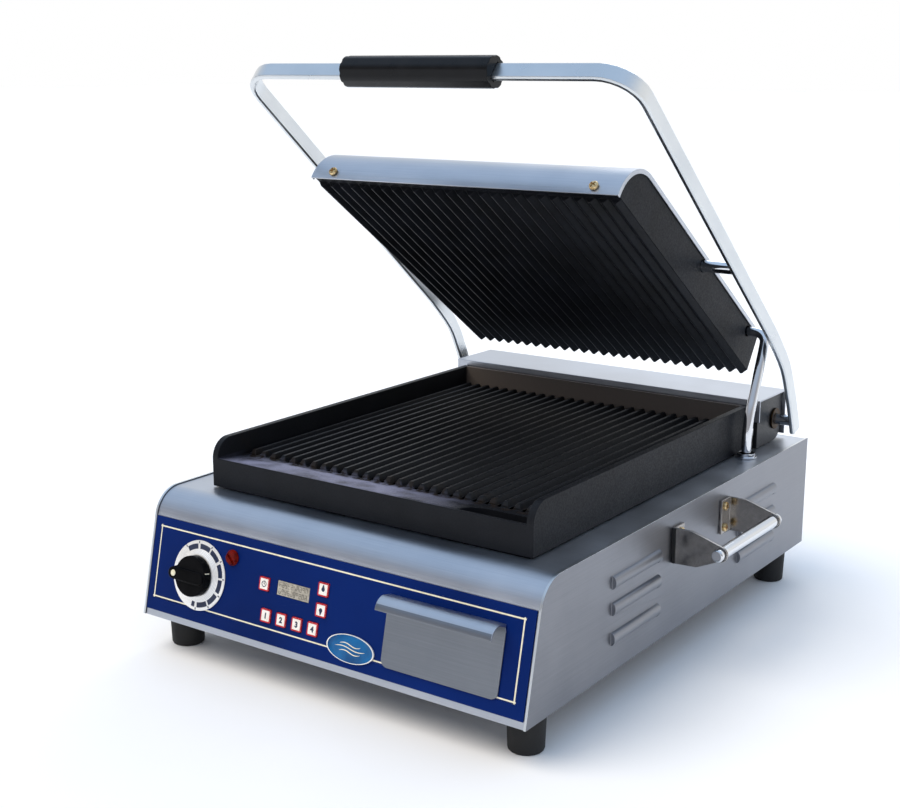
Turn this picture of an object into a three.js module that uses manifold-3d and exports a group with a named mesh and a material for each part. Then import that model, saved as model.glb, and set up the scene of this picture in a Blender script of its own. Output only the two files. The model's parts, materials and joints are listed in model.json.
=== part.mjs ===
// Countertop panini press with its lid raised: a sloped stainless casing on four feet, a ribbed
// cast-iron griddle, and a second ribbed plate hung between the arms of a U-shaped lift frame.
// Millimetres. X to the right, Y to the back, Z up. Inside the group, y = 0 is the casing's front
// bottom edge. The group itself is shifted so that the origin is the middle of the footprint.
import * as THREE from "three";
import { mergeVertices } from "three/addons/utils/BufferGeometryUtils.js";
import Module from "manifold-3d";

const wasm = await Module();
wasm.setup();

// ---- driving dimensions ------------------------------------------------------------------
const GAP = 0.3; // between pieces that touch
const SHEET = 1.5; // stainless sheet of the casing
const FOOT_HEIGHT = 36; // casing floor above the table
const CASE_HALF = 221.5; // half width over the side panels
const SIDE_SHEET = 2.5; // side panel with its hemmed edge
const SIDE_RIM = 1.2; // side panel edge above the deck
const CASE_DEPTH = 580;
const FOOTPRINT_MIDDLE = 292; // from the casing's front edge to the middle of the footprint
const DECK_Z = 155.4; // top of the casing
const SLOPE_RUN = 21.6; // the front leans back by this much ...
const SLOPE_RISE = 95.6; // ... over this height
const NOSE_RADIUS = 30; // bend between front slope and deck
const WRAP_HALF = CASE_HALF - SIDE_SHEET - GAP; // half width of the sheets between the side panels

const PANEL_HALF = 218; // control panel
const PANEL_LOW = 6.5; // distances up the slope
const PANEL_HIGH = 98;
const DIAL_X = -153;
const DIAL_UP = 51.4;
const LAMP_X = -113.5;
const LAMP_UP = 76.3;
const KEY_WIDTH = 12;
const KEY_HEIGHT = 12.5;
const KEYS = {
  key_program: [-71, 60.4],
  key_up: [-1.6, 69.5],
  key_down: [-1.6, 50.7],
  key_preset_1: [-64.8, 32],
  key_preset_2: [-46.1, 32],
  key_preset_3: [-27.4, 32],
  key_preset_4: [-8.7, 32],
};
const DISPLAY = { left: -55.5, right: -17.5, low: 53.8, high: 67 };
const BADGE = { x: 36.5, up: 24.5, halfWidth: 26.5, halfHeight: 12.5 };

const DRAWER = {
  left: 71,
  right: 192,
  low: 17.7,
  high: 81.5,
  trayInset: 9,
  depth: 165,
  floor: 58,
  rim: 100,
};
const DRAWER_X = (DRAWER.left + DRAWER.right) / 2;

const GRIDDLE_HALF = 185;
const GRIDDLE_WALL = 7;
const GRIDDLE_FRONT = 65;
const GRIDDLE_BACK = 498.5;
const GRIDDLE_BASE = DECK_Z + 1.2;
const GRIDDLE_WALL_TOP = 204;
const GRIDDLE_FRONT_TOP = 185;
const GRIDDLE_CORNER = 20; // round front end of each side wall
const RIB_ROOT_Z = 181;
const RIB_TIP_Z = 186.5;
const RIB_PITCH = 13;
const RIB_COUNT = 27;
const RIB_FRONT = 105;
const RIB_BACK = 486;
const LEDGE = { front: GRIDDLE_FRONT + 3, back: RIB_FRONT - 4, high: GRIDDLE_FRONT_TOP - 0.4 };
const SUMP = { left: 104, right: 177, front: 70, back: 91, floor: 174 }; // where grease gathers
const DRAIN = { left: 114, right: 176, front: 72, back: 85 };

const HINGE_Y = 550; // axis of the arms
const HINGE_Z = 181;
const SHAFT_RADIUS = 6;
const ARM_OUTSIDE = 219; // outer face of each arm
const BAR_THICK = 6; // flat bar of the lift frame
const BAR_WIDE = 17;
const CROSSBAR_Y = 158.5;
const CROSSBAR_Z = 553;
const CORNER_RADIUS = 34; // bends between arms and crossbar
const ARM_INSIDE = ARM_OUTSIDE - BAR_THICK;

const PLATE_TILT = 35; // degrees, lid raised
const PLATE_REAR_Y = 510; // rear edge of the upper plate's rib tips
const PLATE_REAR_Z = 235;
const PLATE_HALF = 175;
const PLATE_LENGTH = 367; // along the plate, over the cover's round front
const COVER_TOP = 50; // above the rib tips
const COVER_CURVE = 45; // radius of the cover's front
const COVER_SHEET = 1.5;
const PIVOT_ALONG = 172; // plate pivot, from the rear edge and above the rib tips
const PIVOT_ABOVE = 39;

const CONDUIT_X = 197;
const CONDUIT_RADIUS = 5.5;
const CONDUIT_POLE_Y = 570.5; // the lower bend is an arc about this point
const CONDUIT_POLE_Z = 169.6;
const CONDUIT_ARC = 102;

const HANDLE_FRONT_Y = 252;
const HANDLE_REAR_Y = 373;
const HANDLE_BAR_X = 270;
const HANDLE_BAR_Z = 124;
const HANDLE_BAR_RADIUS = 6;

const SLOPE_ANGLE = Math.atan2(SLOPE_RISE, SLOPE_RUN);
const LEAN_Y = Math.cos(SLOPE_ANGLE); // unit vector up the slope, (y, z)
const LEAN_Z = Math.sin(SLOPE_ANGLE);

// ---- finishes ----------------------------------------------------------------------------
const finish = (color, roughness, metalness) => ({ color, roughness, metalness });
const FINISHES = {
  stainless: finish(0xb9bec6, 0.32, 1),
  polished: finish(0xd8dade, 0.1, 1),
  castIron: finish(0x1d1e22, 0.7, 0.4),
  blackSteel: finish(0x15161a, 0.5, 0.3),
  bluePanel: finish(0x0a2a6c, 0.35, 0),
  badgeBlue: finish(0x2a7fc4, 0.3, 0),
  silver: finish(0xe2e4e8, 0.3, 0.6),
  blackPlastic: finish(0x111113, 0.35, 0),
  keyWhite: finish(0xf2f0ec, 0.5, 0),
  redLens: finish(0xa51c10, 0.2, 0),
  display: finish(0xb6ae9c, 0.4, 0),
  rubber: finish(0x121214, 0.85, 0),
  zinc: finish(0xa7abb0, 0.4, 1),
  bronze: finish(0xa9803f, 0.4, 1),
  board: finish(0x1f5a35, 0.6, 0),
  element: finish(0x6a5d52, 0.6, 0.8),
};

// ---- small shape kit ---------------------------------------------------------------------
const AXIS_X = new THREE.Vector3(1, 0, 0);
const AXIS_Y = new THREE.Vector3(0, 1, 0);
const AXIS_Z = new THREE.Vector3(0, 0, 1);

function solid(geometry) {
  const bare = geometry.clone();
  bare.deleteAttribute("normal");
  bare.deleteAttribute("uv");
  const merged = mergeVertices(bare, 1e-4);
  const vertProperties = merged.attributes.position.array;
  const triVerts = Uint32Array.from(merged.index.array);
  return new wasm.Manifold(new wasm.Mesh({ numProp: 3, vertProperties, triVerts }));
}

function geometryOf(manifold) {
  const mesh = manifold.getMesh();
  const geometry = new THREE.BufferGeometry();
  geometry.setAttribute("position", new THREE.BufferAttribute(mesh.vertProperties, 3));
  geometry.setIndex(new THREE.BufferAttribute(mesh.triVerts, 1));
  geometry.computeVertexNormals();
  return geometry;
}

const join = (...pieces) => geometryOf(pieces.map(solid).reduce((all, next) => all.add(next)));
const cut = (body, ...tools) =>
  geometryOf(tools.map(solid).reduce((left, tool) => left.subtract(tool), solid(body)));

function box(x0, x1, y0, y1, z0, z1) {
  const geometry = new THREE.BoxGeometry(x1 - x0, y1 - y0, z1 - z0);
  return geometry.translate((x0 + x1) / 2, (y0 + y1) / 2, (z0 + z1) / 2);
}

function extrude(shape, depth, curveSegments = 12) {
  return new THREE.ExtrudeGeometry(shape, { depth, bevelEnabled: false, curveSegments });
}

// A shape drawn in (y, z), run along X.
function alongX(shape, x0, x1, curveSegments) {
  const turn = new THREE.Matrix4().makeBasis(AXIS_Y, AXIS_Z, AXIS_X);
  return extrude(shape, x1 - x0, curveSegments).applyMatrix4(turn).translate(x0, 0, 0);
}

// A shape drawn in (x, z), run along Y.
function alongY(shape, y0, y1, curveSegments) {
  const turn = new THREE.Matrix4().makeRotationX(Math.PI / 2);
  return extrude(shape, y1 - y0, curveSegments).applyMatrix4(turn).translate(0, y1, 0);
}

// A shape drawn in (x, y), run along Z.
const alongZ = (shape, z0, z1, curveSegments) => extrude(shape, z1 - z0, curveSegments).translate(0, 0, z0);

const outline = (points) => new THREE.Shape(points.map(([a, b]) => new THREE.Vector2(a, b)));

function roundedRectangle(a0, a1, b0, b1, radius) {
  const shape = new THREE.Shape();
  shape.absarc(a1 - radius, b0 + radius, radius, -Math.PI / 2, 0);
  shape.absarc(a1 - radius, b1 - radius, radius, 0, Math.PI / 2);
  shape.absarc(a0 + radius, b1 - radius, radius, Math.PI / 2, Math.PI);
  shape.absarc(a0 + radius, b0 + radius, radius, Math.PI, 1.5 * Math.PI);
  return shape;
}

// A turned piece: the profile is a list of [radius, height] from the foot upwards; its axis
// starts as Z and `direction` says where it points.
function turned(profile, direction = AXIS_Z, segments = 24) {
  const points = profile.map(([radius, height]) => new THREE.Vector2(radius, height));
  const lathe = new THREE.LatheGeometry(points, segments);
  const swing = new THREE.Quaternion().setFromUnitVectors(AXIS_Y, direction.clone().normalize());
  return lathe.applyQuaternion(swing);
}

function rod(radius, from, to, segments = 20) {
  const start = new THREE.Vector3(...from);
  const run = new THREE.Vector3(...to).sub(start);
  const profile = [[0, 0], [radius, 0], [radius, run.length()], [0, run.length()]];
  return turned(profile, run, segments).translate(...from);
}

// A path through fixed stations, so that straight runs cost no triangles.
class StationPath extends THREE.Curve {
  constructor(stations) {
    super();
    this.stations = stations;
  }
  getPoint(t) {
    const place = t * (this.stations.length - 1);
    const index = Math.min(Math.floor(place), this.stations.length - 2);
    return this.stations[index].clone().lerp(this.stations[index + 1], place - index);
  }
  getPointAt(u) {
    return this.getPoint(u);
  }
  getTangentAt(u) {
    const here = Math.round(u * (this.stations.length - 1));
    const before = this.stations[Math.max(here - 1, 0)];
    const after = this.stations[Math.min(here + 1, this.stations.length - 1)];
    return after.clone().sub(before).normalize();
  }
}

function sweep(shape, stations, curveSegments = 3) {
  const extrudePath = new StationPath(stations);
  const steps = stations.length - 1;
  return new THREE.ExtrudeGeometry(shape, { steps, extrudePath, bevelEnabled: false, curveSegments });
}

function ring(radius, sides) {
  const angles = Array.from({ length: sides }, (_, i) => (i * 2 * Math.PI) / sides);
  return outline(angles.map((a) => [radius * Math.cos(a), radius * Math.sin(a)]));
}

// ---- assembly ----------------------------------------------------------------------------
const press = new THREE.Group();

// Things on the front slope: x as it is, y up the slope, z out of it.
const slope = new THREE.Group();
slope.position.set(0, 0, FOOT_HEIGHT);
slope.rotation.x = SLOPE_ANGLE;

// The upper plate: x as it is, -y forward along the plate, z above the rib tips.
const plate = new THREE.Group();
plate.position.set(0, PLATE_REAR_Y, PLATE_REAR_Z);
plate.rotation.x = THREE.MathUtils.degToRad(-PLATE_TILT);

press.add(slope, plate);

function add(name, geometry, finishName, parent = press) {
  const material = new THREE.MeshStandardMaterial(FINISHES[finishName]);
  const mesh = new THREE.Mesh(geometry, material);
  mesh.name = name;
  parent.add(mesh);
}

const onSlope = (geometry) =>
  geometry.clone().rotateX(SLOPE_ANGLE).translate(0, 0, FOOT_HEIGHT);

// ---- casing ------------------------------------------------------------------------------
// Side profile of the casing in (y, z), moved inwards by `inset`: front slope, nose bend, deck.
function noseProfile(shape, inset) {
  const radius = NOSE_RADIUS - inset;
  const rise = (DECK_Z - NOSE_RADIUS - FOOT_HEIGHT + LEAN_Y * NOSE_RADIUS) / LEAN_Z;
  const centreY = LEAN_Y * rise + LEAN_Z * NOSE_RADIUS;
  const centreZ = DECK_Z - NOSE_RADIUS;
  const slopeNormal = Math.atan2(LEAN_Y, -LEAN_Z);
  shape.lineTo(centreY - radius * LEAN_Z, centreZ + radius * LEAN_Y);
  shape.absarc(centreY, centreZ, radius, slopeNormal, Math.PI / 2, true);
}

const slopeY = (z, inset) => ((z - FOOT_HEIGHT) * LEAN_Y + inset) / LEAN_Z;

function casingBlock(inset, floor, back) {
  const shape = new THREE.Shape();
  shape.moveTo(slopeY(floor, inset), floor);
  noseProfile(shape, inset);
  shape.lineTo(back, DECK_Z - inset);
  shape.lineTo(back, floor);
  return shape;
}

const drawerTray = {
  left: DRAWER.left + DRAWER.trayInset,
  right: DRAWER.right - DRAWER.trayInset,
};
const drawerHole = box(drawerTray.left - 3, drawerTray.right + 3, 19, 69, -8, 8);

function buildCasing() {
  const back = CASE_DEPTH - SHEET - GAP;
  const outer = alongX(casingBlock(0, FOOT_HEIGHT, back), -WRAP_HALF, WRAP_HALF, 10);
  const hollow = alongX(casingBlock(SHEET, FOOT_HEIGHT - 1, back + 1), -WRAP_HALF - 1, WRAP_HALF + 1, 10);
  const boardWindow = box(-82, 8, 22, 79, -8, 8);
  const dialHole = rod(9, [DIAL_X, DIAL_UP, -8], [DIAL_X, DIAL_UP, 8]);
  const lampHole = rod(6.6, [LAMP_X, LAMP_UP, -8], [LAMP_X, LAMP_UP, 8]);
  const spoutHole = box(DRAIN.left - 5, DRAIN.right + 5, DRAIN.front - 5, DRAIN.back + 5, 140, 170);
  const conduitHole = rod(8.5, [CONDUIT_X, 469, 140], [CONDUIT_X, 469, 170]);
  const leadHoles = [-1, 1].map((side) => rod(8, [side * 150, 470, 140], [side * 150, 470, 170]));
  add("casing_wrap", cut(outer, hollow, onSlope(boardWindow), onSlope(dialHole), onSlope(lampHole),
    onSlope(drawerHole), spoutHole, conduitHole, ...leadHoles), "stainless");

  const rear = box(-WRAP_HALF, WRAP_HALF, CASE_DEPTH - SHEET, CASE_DEPTH, FOOT_HEIGHT + 1.8, DECK_Z);
  const vents = Array.from({ length: 9 }, (_, i) => box(-104 + 24 * i, -92 + 24 * i, 570, 590, 84, 89));
  const cordHole = rod(10, [150, 570, 72], [150, 590, 72]);
  add("rear_panel", cut(rear, ...vents, cordHole), "stainless");

  const floor = box(-WRAP_HALF, WRAP_HALF, 2.2, CASE_DEPTH - SHEET - GAP, FOOT_HEIGHT, FOOT_HEIGHT + SHEET);
  const floorVents = Array.from({ length: 7 }, (_, i) =>
    box(-120 + 36 * i, -110 + 36 * i, 260, 400, 30, 40));
  add("bottom_plate", cut(floor, ...floorVents), "stainless");
}

// Louvre: a shallow half-round blister pressed outwards, open to the inside and along its foot.
const LOUVRE = { half: 44, tall: 12.5, proud: 4.5, wall: 1.2 };

function blister(half, tall, proud, y, z) {
  const arc = Array.from({ length: 9 }, (_, i) => (Math.PI * i) / 8);
  const bulge = arc.map((a) => [proud * Math.sin(a), (-tall / 2) * Math.cos(a)]);
  const section = outline([[-1, -tall / 2], ...bulge, [-1, tall / 2]]);
  return alongY(section, y - half, y + half).translate(CASE_HALF, 0, z);
}

function buildSidePanels() {
  const panelShape = casingBlock(-SIDE_RIM, FOOT_HEIGHT, CASE_DEPTH);
  const levels = [121, 96.5, 68.5];
  const groups = [181, 444];
  for (const side of [-1, 1]) {
    let panel = solid(alongX(panelShape, CASE_HALF - SIDE_SHEET, CASE_HALF, 10));
    for (const y of groups) {
      for (const z of levels) {
        const { half, tall, proud, wall } = LOUVRE;
        const outerSkin = blister(half, tall, proud, y, z);
        const inside = blister(half - wall, tall - 2 * wall, proud - wall, y, z);
        const slot = box(CASE_HALF - 5, CASE_HALF + 0.01, y - half + wall, y + half - wall,
          z - tall / 2 + wall, z + tall / 2 - wall);
        const mouth = box(CASE_HALF + 0.6, CASE_HALF + 6, y - half + 4, y + half - 4,
          z - tall, z - tall / 2 + 2.2);
        panel = panel.add(solid(outerSkin)).subtract(solid(inside)).subtract(solid(slot));
        panel = panel.subtract(solid(mouth));
      }
    }
    for (const y of [HANDLE_FRONT_Y + 12, HANDLE_REAR_Y - 12]) {
      for (const z of [112, 134]) {
        panel = panel.subtract(solid(rod(2.4, [CASE_HALF - 8, y, z], [CASE_HALF + 8, y, z], 10)));
      }
    }
    const geometry = side > 0 ? geometryOf(panel) : geometryOf(panel.mirror([1, 0, 0]));
    add(side > 0 ? "side_panel_right" : "side_panel_left", geometry, "stainless");
  }
}

function buildFeet() {
  const profile = [[0, 10], [5, 10], [5, 0], [15, 0], [16, 2], [17, 30], [17, FOOT_HEIGHT - GAP],
    [0, FOOT_HEIGHT - GAP]];
  const spots = { front: [199, 36], rear: [200, 540] };
  for (const [end, [x, y]] of Object.entries(spots)) {
    add(`foot_${end}_left`, turned(profile, AXIS_Z, 18).translate(-x, y, 0), "rubber");
    add(`foot_${end}_right`, turned(profile, AXIS_Z, 18).translate(x, y, 0), "rubber");
  }
}

// ---- control panel on the slope ----------------------------------------------------------
const FACE_BACK = GAP; // the panel lies on the casing
const FACE_FRONT = GAP + 1;
const ON_FACE = FACE_FRONT + GAP; // pieces that lie on the panel start here

function buildControlPanel() {
  const sheet = box(-PANEL_HALF, PANEL_HALF, PANEL_LOW, PANEL_HIGH, FACE_BACK, FACE_FRONT);
  const keyHoles = Object.values(KEYS).map(([x, up]) =>
    box(x - KEY_WIDTH / 2 - GAP, x + KEY_WIDTH / 2 + GAP, up - KEY_HEIGHT / 2 - GAP,
      up + KEY_HEIGHT / 2 + GAP, -8, 8));
  const { left, right, low, high } = DISPLAY;
  const window = box(left - GAP, right + GAP, low - GAP, high + GAP, -8, 8);
  const dialHole = rod(8, [DIAL_X, DIAL_UP, -8], [DIAL_X, DIAL_UP, 8]);
  const lampHole = rod(6.6, [LAMP_X, LAMP_UP, -8], [LAMP_X, LAMP_UP, 8]);
  add("control_panel", cut(sheet, ...keyHoles, window, dialHole, lampHole, drawerHole), "bluePanel", slope);

  for (const [name, [x, up]] of Object.entries(KEYS)) {
    const outlineShape = roundedRectangle(x - KEY_WIDTH / 2, x + KEY_WIDTH / 2, up - KEY_HEIGHT / 2,
      up + KEY_HEIGHT / 2, 1.5);
    add(name, alongZ(outlineShape, -3.2, 2.4, 3), "keyWhite", slope);
  }
  add("display_window", box(left, right, low, high, -3, 1.1), "display", slope);
  add("timer_board", box(-78, 6, 24, 77, -7, -5.4), "board", slope);

  const { x, up, halfWidth, halfHeight } = BADGE;
  const badge = new THREE.Shape();
  badge.absellipse(x, up, halfWidth, halfHeight, 0, 2 * Math.PI);
  add("badge_plate", alongZ(badge, ON_FACE, ON_FACE + 1.4, 16), "badgeBlue", slope);

  const lamp = [[0, -18], [6, -18], [6, ON_FACE], [7.6, ON_FACE], [7.6, 4], [6.2, 5.6], [0, 5.6]];
  add("pilot_lamp", turned(lamp).translate(LAMP_X, LAMP_UP, 0), "redLens", slope);
}

// Narrows the top of a bar that runs along X, so that its flanks lean in.
function leanIn(bar, top, share) {
  const { position } = bar.attributes;
  for (let i = 0; i < position.count; i += 1) {
    if (position.getZ(i) > top - 0.01) position.setY(i, position.getY(i) * share);
  }
  return bar;
}

// Dial: a flat scale ring that rises in a cone to the knob's foot.
function buildThermostat() {
  const scale = [[11, ON_FACE], [33.5, ON_FACE], [33.5, 2.6], [25.4, 2.8], [20.4, 5.8], [18.6, 5.8],
    [18.6, 3], [11, 3], [11, ON_FACE]];
  add("dial_ring", turned(scale, AXIS_Z, 30).translate(DIAL_X, DIAL_UP, 0), "silver", slope);

  const barTop = 18;
  const dotX = -18.6;
  const skirt = turned([[0, 3.4], [17.6, 3.4], [17.6, 6.2], [19.8, 6.2], [19.4, 15], [0, 15]], AXIS_Z, 32);
  const bar = leanIn(alongZ(roundedRectangle(-25.5, 19, -7.2, 7.2, 6.4), 8.6, barTop, 5), barTop, 0.8);
  const bore = rod(3.3, [0, 0, 0], [0, 0, 12], 16);
  const pocket = rod(3.2, [dotX, 0, barTop - 0.6], [dotX, 0, barTop + 4], 14);
  const knob = cut(join(skirt, bar), bore, pocket);
  add("thermostat_knob", knob.translate(DIAL_X, DIAL_UP, 0), "blackPlastic", slope);

  const shaft = rod(3, [DIAL_X, DIAL_UP, -16], [DIAL_X, DIAL_UP, 11.6], 16);
  add("thermostat_shaft", shaft, "zinc", slope);
  const body = box(DIAL_X - 17, DIAL_X + 17, DIAL_UP - 17, DIAL_UP + 17, -32, -2.2);
  const well = rod(3.4, [DIAL_X, DIAL_UP, -17], [DIAL_X, DIAL_UP, 0], 16);
  add("thermostat_body", cut(body, well), "zinc", slope);
}

// Drawer: a face on the slope with a rolled lip along its top, and a tray that runs straight back.
function buildDrawer() {
  const { left, right, low, high, floor, rim, depth } = DRAWER;
  const faceBack = ON_FACE;
  const faceFront = ON_FACE + 1.4;
  const face = alongZ(roundedRectangle(left, right, low, high, 7), faceBack, faceFront, 5);
  // lip section in (y up the slope, z out of it): out from the top of the face, then curling down
  const curl = { up: 69, out: 9.5, radius: 13, wall: 1.3 };
  const lip = new THREE.Shape();
  lip.moveTo(high - 3, faceBack);
  lip.lineTo(high, faceBack);
  lip.absarc(curl.up, curl.out, curl.radius, Math.PI / 12, Math.PI / 2, false);
  lip.absarc(curl.up, curl.out, curl.radius - curl.wall, Math.PI / 2, Math.PI / 12, true);
  lip.lineTo(high - 3, faceFront);
  const faceWithLip = onSlope(join(face, alongX(lip, left + 1, right - 1, 10)));
  const wall = 1.2;
  const trayOuter = box(drawerTray.left, drawerTray.right, -10, depth, floor, rim);
  const trayInner = box(drawerTray.left + wall, drawerTray.right - wall, -20, depth - wall,
    floor + wall, rim + 9);
  const ahead = onSlope(box(left - 9, right + 9, -20, 120, faceBack + 0.7, 60));
  add("drip_drawer", join(faceWithLip, cut(trayOuter, trayInner, ahead)), "stainless");

  const floorTop = FOOT_HEIGHT + SHEET + GAP;
  const web = drawerTray.left - 3.5;
  const rail = [[web - 11, floorTop], [web + 1.5, floorTop], [web + 1.5, floor - 2], [web + 12, floor - 2],
    [web + 12, floor - GAP - 0.2], [web + 1.5, floor - GAP - 0.2], [web + 1.5, 76], [web, 76],
    [web, floorTop + 1.5], [web - 11, floorTop + 1.5]];
  const acrossDrawer = rail.map(([x, z]) => [2 * DRAWER_X - x, z]).reverse();
  add("drawer_rail_left", alongY(outline(rail), 18, 190), "zinc");
  add("drawer_rail_right", alongY(outline(acrossDrawer), 18, 190), "zinc");
}

// ---- lower griddle -----------------------------------------------------------------------
const ribCentres = Array.from({ length: RIB_COUNT }, (_, i) => (i - (RIB_COUNT - 1) / 2) * RIB_PITCH);

function buildLowerGriddle() {
  const block = new THREE.Shape();
  block.moveTo(GRIDDLE_FRONT, GRIDDLE_BASE);
  block.lineTo(GRIDDLE_FRONT, GRIDDLE_WALL_TOP - GRIDDLE_CORNER);
  block.absarc(GRIDDLE_FRONT + GRIDDLE_CORNER, GRIDDLE_WALL_TOP - GRIDDLE_CORNER, GRIDDLE_CORNER,
    Math.PI, Math.PI / 2, true);
  block.lineTo(GRIDDLE_BACK, GRIDDLE_WALL_TOP);
  block.lineTo(GRIDDLE_BACK, GRIDDLE_BASE);
  const inner = GRIDDLE_HALF - GRIDDLE_WALL;
  const innerBack = GRIDDLE_BACK - 6.5;
  const aboveFront = box(-inner, inner, 0, innerBack, GRIDDLE_FRONT_TOP, 300);
  const well = box(-inner, inner, LEDGE.back, innerBack, RIB_ROOT_Z, 300);
  const slopingLedge = outline([[LEDGE.front, LEDGE.high], [LEDGE.back, RIB_ROOT_Z], [LEDGE.back, 300],
    [LEDGE.front, 300]]);
  const aboveLedge = alongX(slopingLedge, -inner, inner);
  const sumpShape = new THREE.Shape();
  const sumpDepth = SUMP.back - SUMP.front;
  sumpShape.moveTo(SUMP.left, SUMP.front);
  sumpShape.lineTo(SUMP.right, SUMP.front);
  sumpShape.lineTo(SUMP.right, SUMP.back);
  sumpShape.lineTo(SUMP.left + sumpDepth, SUMP.back);
  sumpShape.absarc(SUMP.left + sumpDepth, SUMP.front, sumpDepth, Math.PI / 2, Math.PI, false);
  const sump = alongZ(sumpShape, SUMP.floor, 300, 8);
  const drain = box(DRAIN.left, DRAIN.right, DRAIN.front, DRAIN.back, 100, 300);
  const pocket = box(-170, 170, 100, 485, 100, 170);
  const spout = box(DRAIN.left - 2.5, DRAIN.right + 2.5, DRAIN.front - 2.5, DRAIN.back + 2.5, 146, 160);

  let casting = solid(alongX(block, -GRIDDLE_HALF, GRIDDLE_HALF, 8));
  for (const tool of [aboveFront, well, aboveLedge, sump, pocket]) casting = casting.subtract(solid(tool));
  casting = casting.add(solid(spout)).subtract(solid(drain));
  for (const x of ribCentres) {
    const rib = outline([[-4.2, RIB_ROOT_Z - 1], [4.2, RIB_ROOT_Z - 1], [4.2, RIB_ROOT_Z], [1.8, RIB_TIP_Z],
      [-1.8, RIB_TIP_Z], [-4.2, RIB_ROOT_Z]]);
    casting = casting.add(solid(alongY(rib, RIB_FRONT, RIB_BACK).translate(x, 0, 0)));
  }
  const slant = 3.5; // the rib ends are cut back at an angle
  const frontCut = outline([[RIB_FRONT - 1, RIB_ROOT_Z + 0.4], [RIB_FRONT + slant, RIB_TIP_Z + 1],
    [RIB_FRONT - 1, RIB_TIP_Z + 1]]);
  casting = casting.subtract(solid(alongX(frontCut, -inner + 0.5, inner - 0.5)));
  add("lower_griddle", geometryOf(casting), "castIron");

  const shield = box(-169, 169, 101, 484, DECK_Z + GAP, DECK_Z + GAP + 0.8);
  const holes = [-1, 1].map((side) => rod(7, [side * 150, 470, 150], [side * 150, 470, 160]));
  add("heat_shield", cut(shield, ...holes), "zinc");
}

// Serpentine heater: six runs along Y joined by half turns, in a plane of its own.
function serpentine(runs, y0, y1, z, tail) {
  const turnRadius = (runs[1] - runs[0]) / 2;
  const stations = [...tail.map(([y, height]) => new THREE.Vector3(runs[0], y, height))];
  runs.forEach((x, i) => {
    const forward = i % 2 === 0;
    const [from, to] = forward ? [y1, y0] : [y0, y1];
    stations.push(new THREE.Vector3(x, from, z), new THREE.Vector3(x, to, z));
    if (i === runs.length - 1) return;
    for (let k = 1; k < 6; k += 1) {
      const angle = (Math.PI * k) / 6;
      const bulge = turnRadius * Math.sin(angle) * (forward ? -1 : 1);
      stations.push(new THREE.Vector3(x + turnRadius * (1 - Math.cos(angle)), to + bulge, z));
    }
  });
  const last = runs[runs.length - 1];
  stations.push(...tail.slice().reverse().map(([y, height]) => new THREE.Vector3(last, y, height)));
  return sweep(ring(3.6, 6), stations);
}

function buildElements() {
  const runs = (half) => Array.from({ length: 6 }, (_, i) => -half + (i * 2 * half) / 5);
  const down = [[470, 140], [470, 157], [466, 162.5]];
  add("lower_element", serpentine(runs(150), 140, 450, 164.5, down), "element");
  const level = [[-20, 20]];
  add("upper_element", serpentine(runs(140), -300, -60, 20, level), "element", plate);
}

// ---- hinge housing -----------------------------------------------------------------------
function buildHinge() {
  const top = 210;
  const front = GRIDDLE_BACK + 1.8;
  const back = 572;
  const section = outline([[front, 186], [front + SHEET, 186], [front + SHEET, top - SHEET],
    [back - SHEET, top - SHEET], [back - SHEET, 160], [back, 160], [back, top], [front, top]]);
  add("housing_cover", alongX(section, -197, 197), "stainless");

  const low = DECK_Z + GAP + 0.3;
  const bracket = new THREE.Shape();
  bracket.moveTo(505, low);
  bracket.lineTo(552, low);
  bracket.absarc(552, low + 17, 17, -Math.PI / 2, 0, false);
  bracket.lineTo(569, top - SHEET - GAP);
  bracket.lineTo(505, top - SHEET - GAP);
  const bushHole = new THREE.Path();
  bushHole.absarc(HINGE_Y, HINGE_Z, 9.4, 0, 2 * Math.PI);
  bracket.holes.push(bushHole);
  const bush = [[6.35, 0], [9, 0], [9, 5.6], [11.5, 5.6], [11.5, 7.4], [6.35, 7.4], [6.35, 0]];
  for (const [name, side] of [["left", -1], ["right", 1]]) {
    const inner = side > 0 ? 188 : -193;
    add(`hinge_bracket_${name}`, alongX(bracket, inner, inner + 5, 12), "blackSteel");
    const outwards = new THREE.Vector3(side, 0, 0);
    add(`hinge_bush_${name}`, turned(bush, outwards).translate(side * 187.8, HINGE_Y, HINGE_Z), "bronze");
    add(`balance_spring_${name}`, springCoil(side), "blackSteel");
  }
  const reach = ARM_INSIDE - GAP;
  add("hinge_shaft", rod(SHAFT_RADIUS, [-reach, HINGE_Y, HINGE_Z], [reach, HINGE_Y, HINGE_Z]), "polished");
}

// Balance spring: a torsion coil round the shaft with a leg that presses on the deck.
function springCoil(side) {
  const turns = 8;
  const perTurn = 8;
  const radius = 11;
  const pitch = 7;
  const start = 110;
  const stations = [new THREE.Vector3(side * start, HINGE_Y - radius, DECK_Z + 3.2)];
  for (let i = 0; i <= turns * perTurn; i += 1) {
    const angle = Math.PI - (2 * Math.PI * i) / perTurn;
    const y = HINGE_Y + radius * Math.cos(angle);
    const z = HINGE_Z + radius * Math.sin(angle);
    stations.push(new THREE.Vector3(side * (start + (pitch * i) / perTurn), y, z));
  }
  return sweep(ring(1.8, 5), stations);
}

function buildGland() {
  const profile = [[4.5, 0], [9.6, 0], [9.6, 6], [9.6, 6.3], [13, 6.3], [13, 11], [8.5, 12], [7, 24],
    [4.5, 24], [4.5, 0]];
  const place = CASE_DEPTH - 6;
  add("cord_gland", turned(profile, AXIS_Y, 16).translate(150, place, 72), "blackPlastic");
}

// ---- lift frame --------------------------------------------------------------------------
// Centre line of the right arm in (y, z), from its foot up to the straight run.
const ARM_FOOT = [[553.5, 170], [545.5, 190.5], [534.5, 214.5], [514.5, 250], [476, 288.2]];

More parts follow.
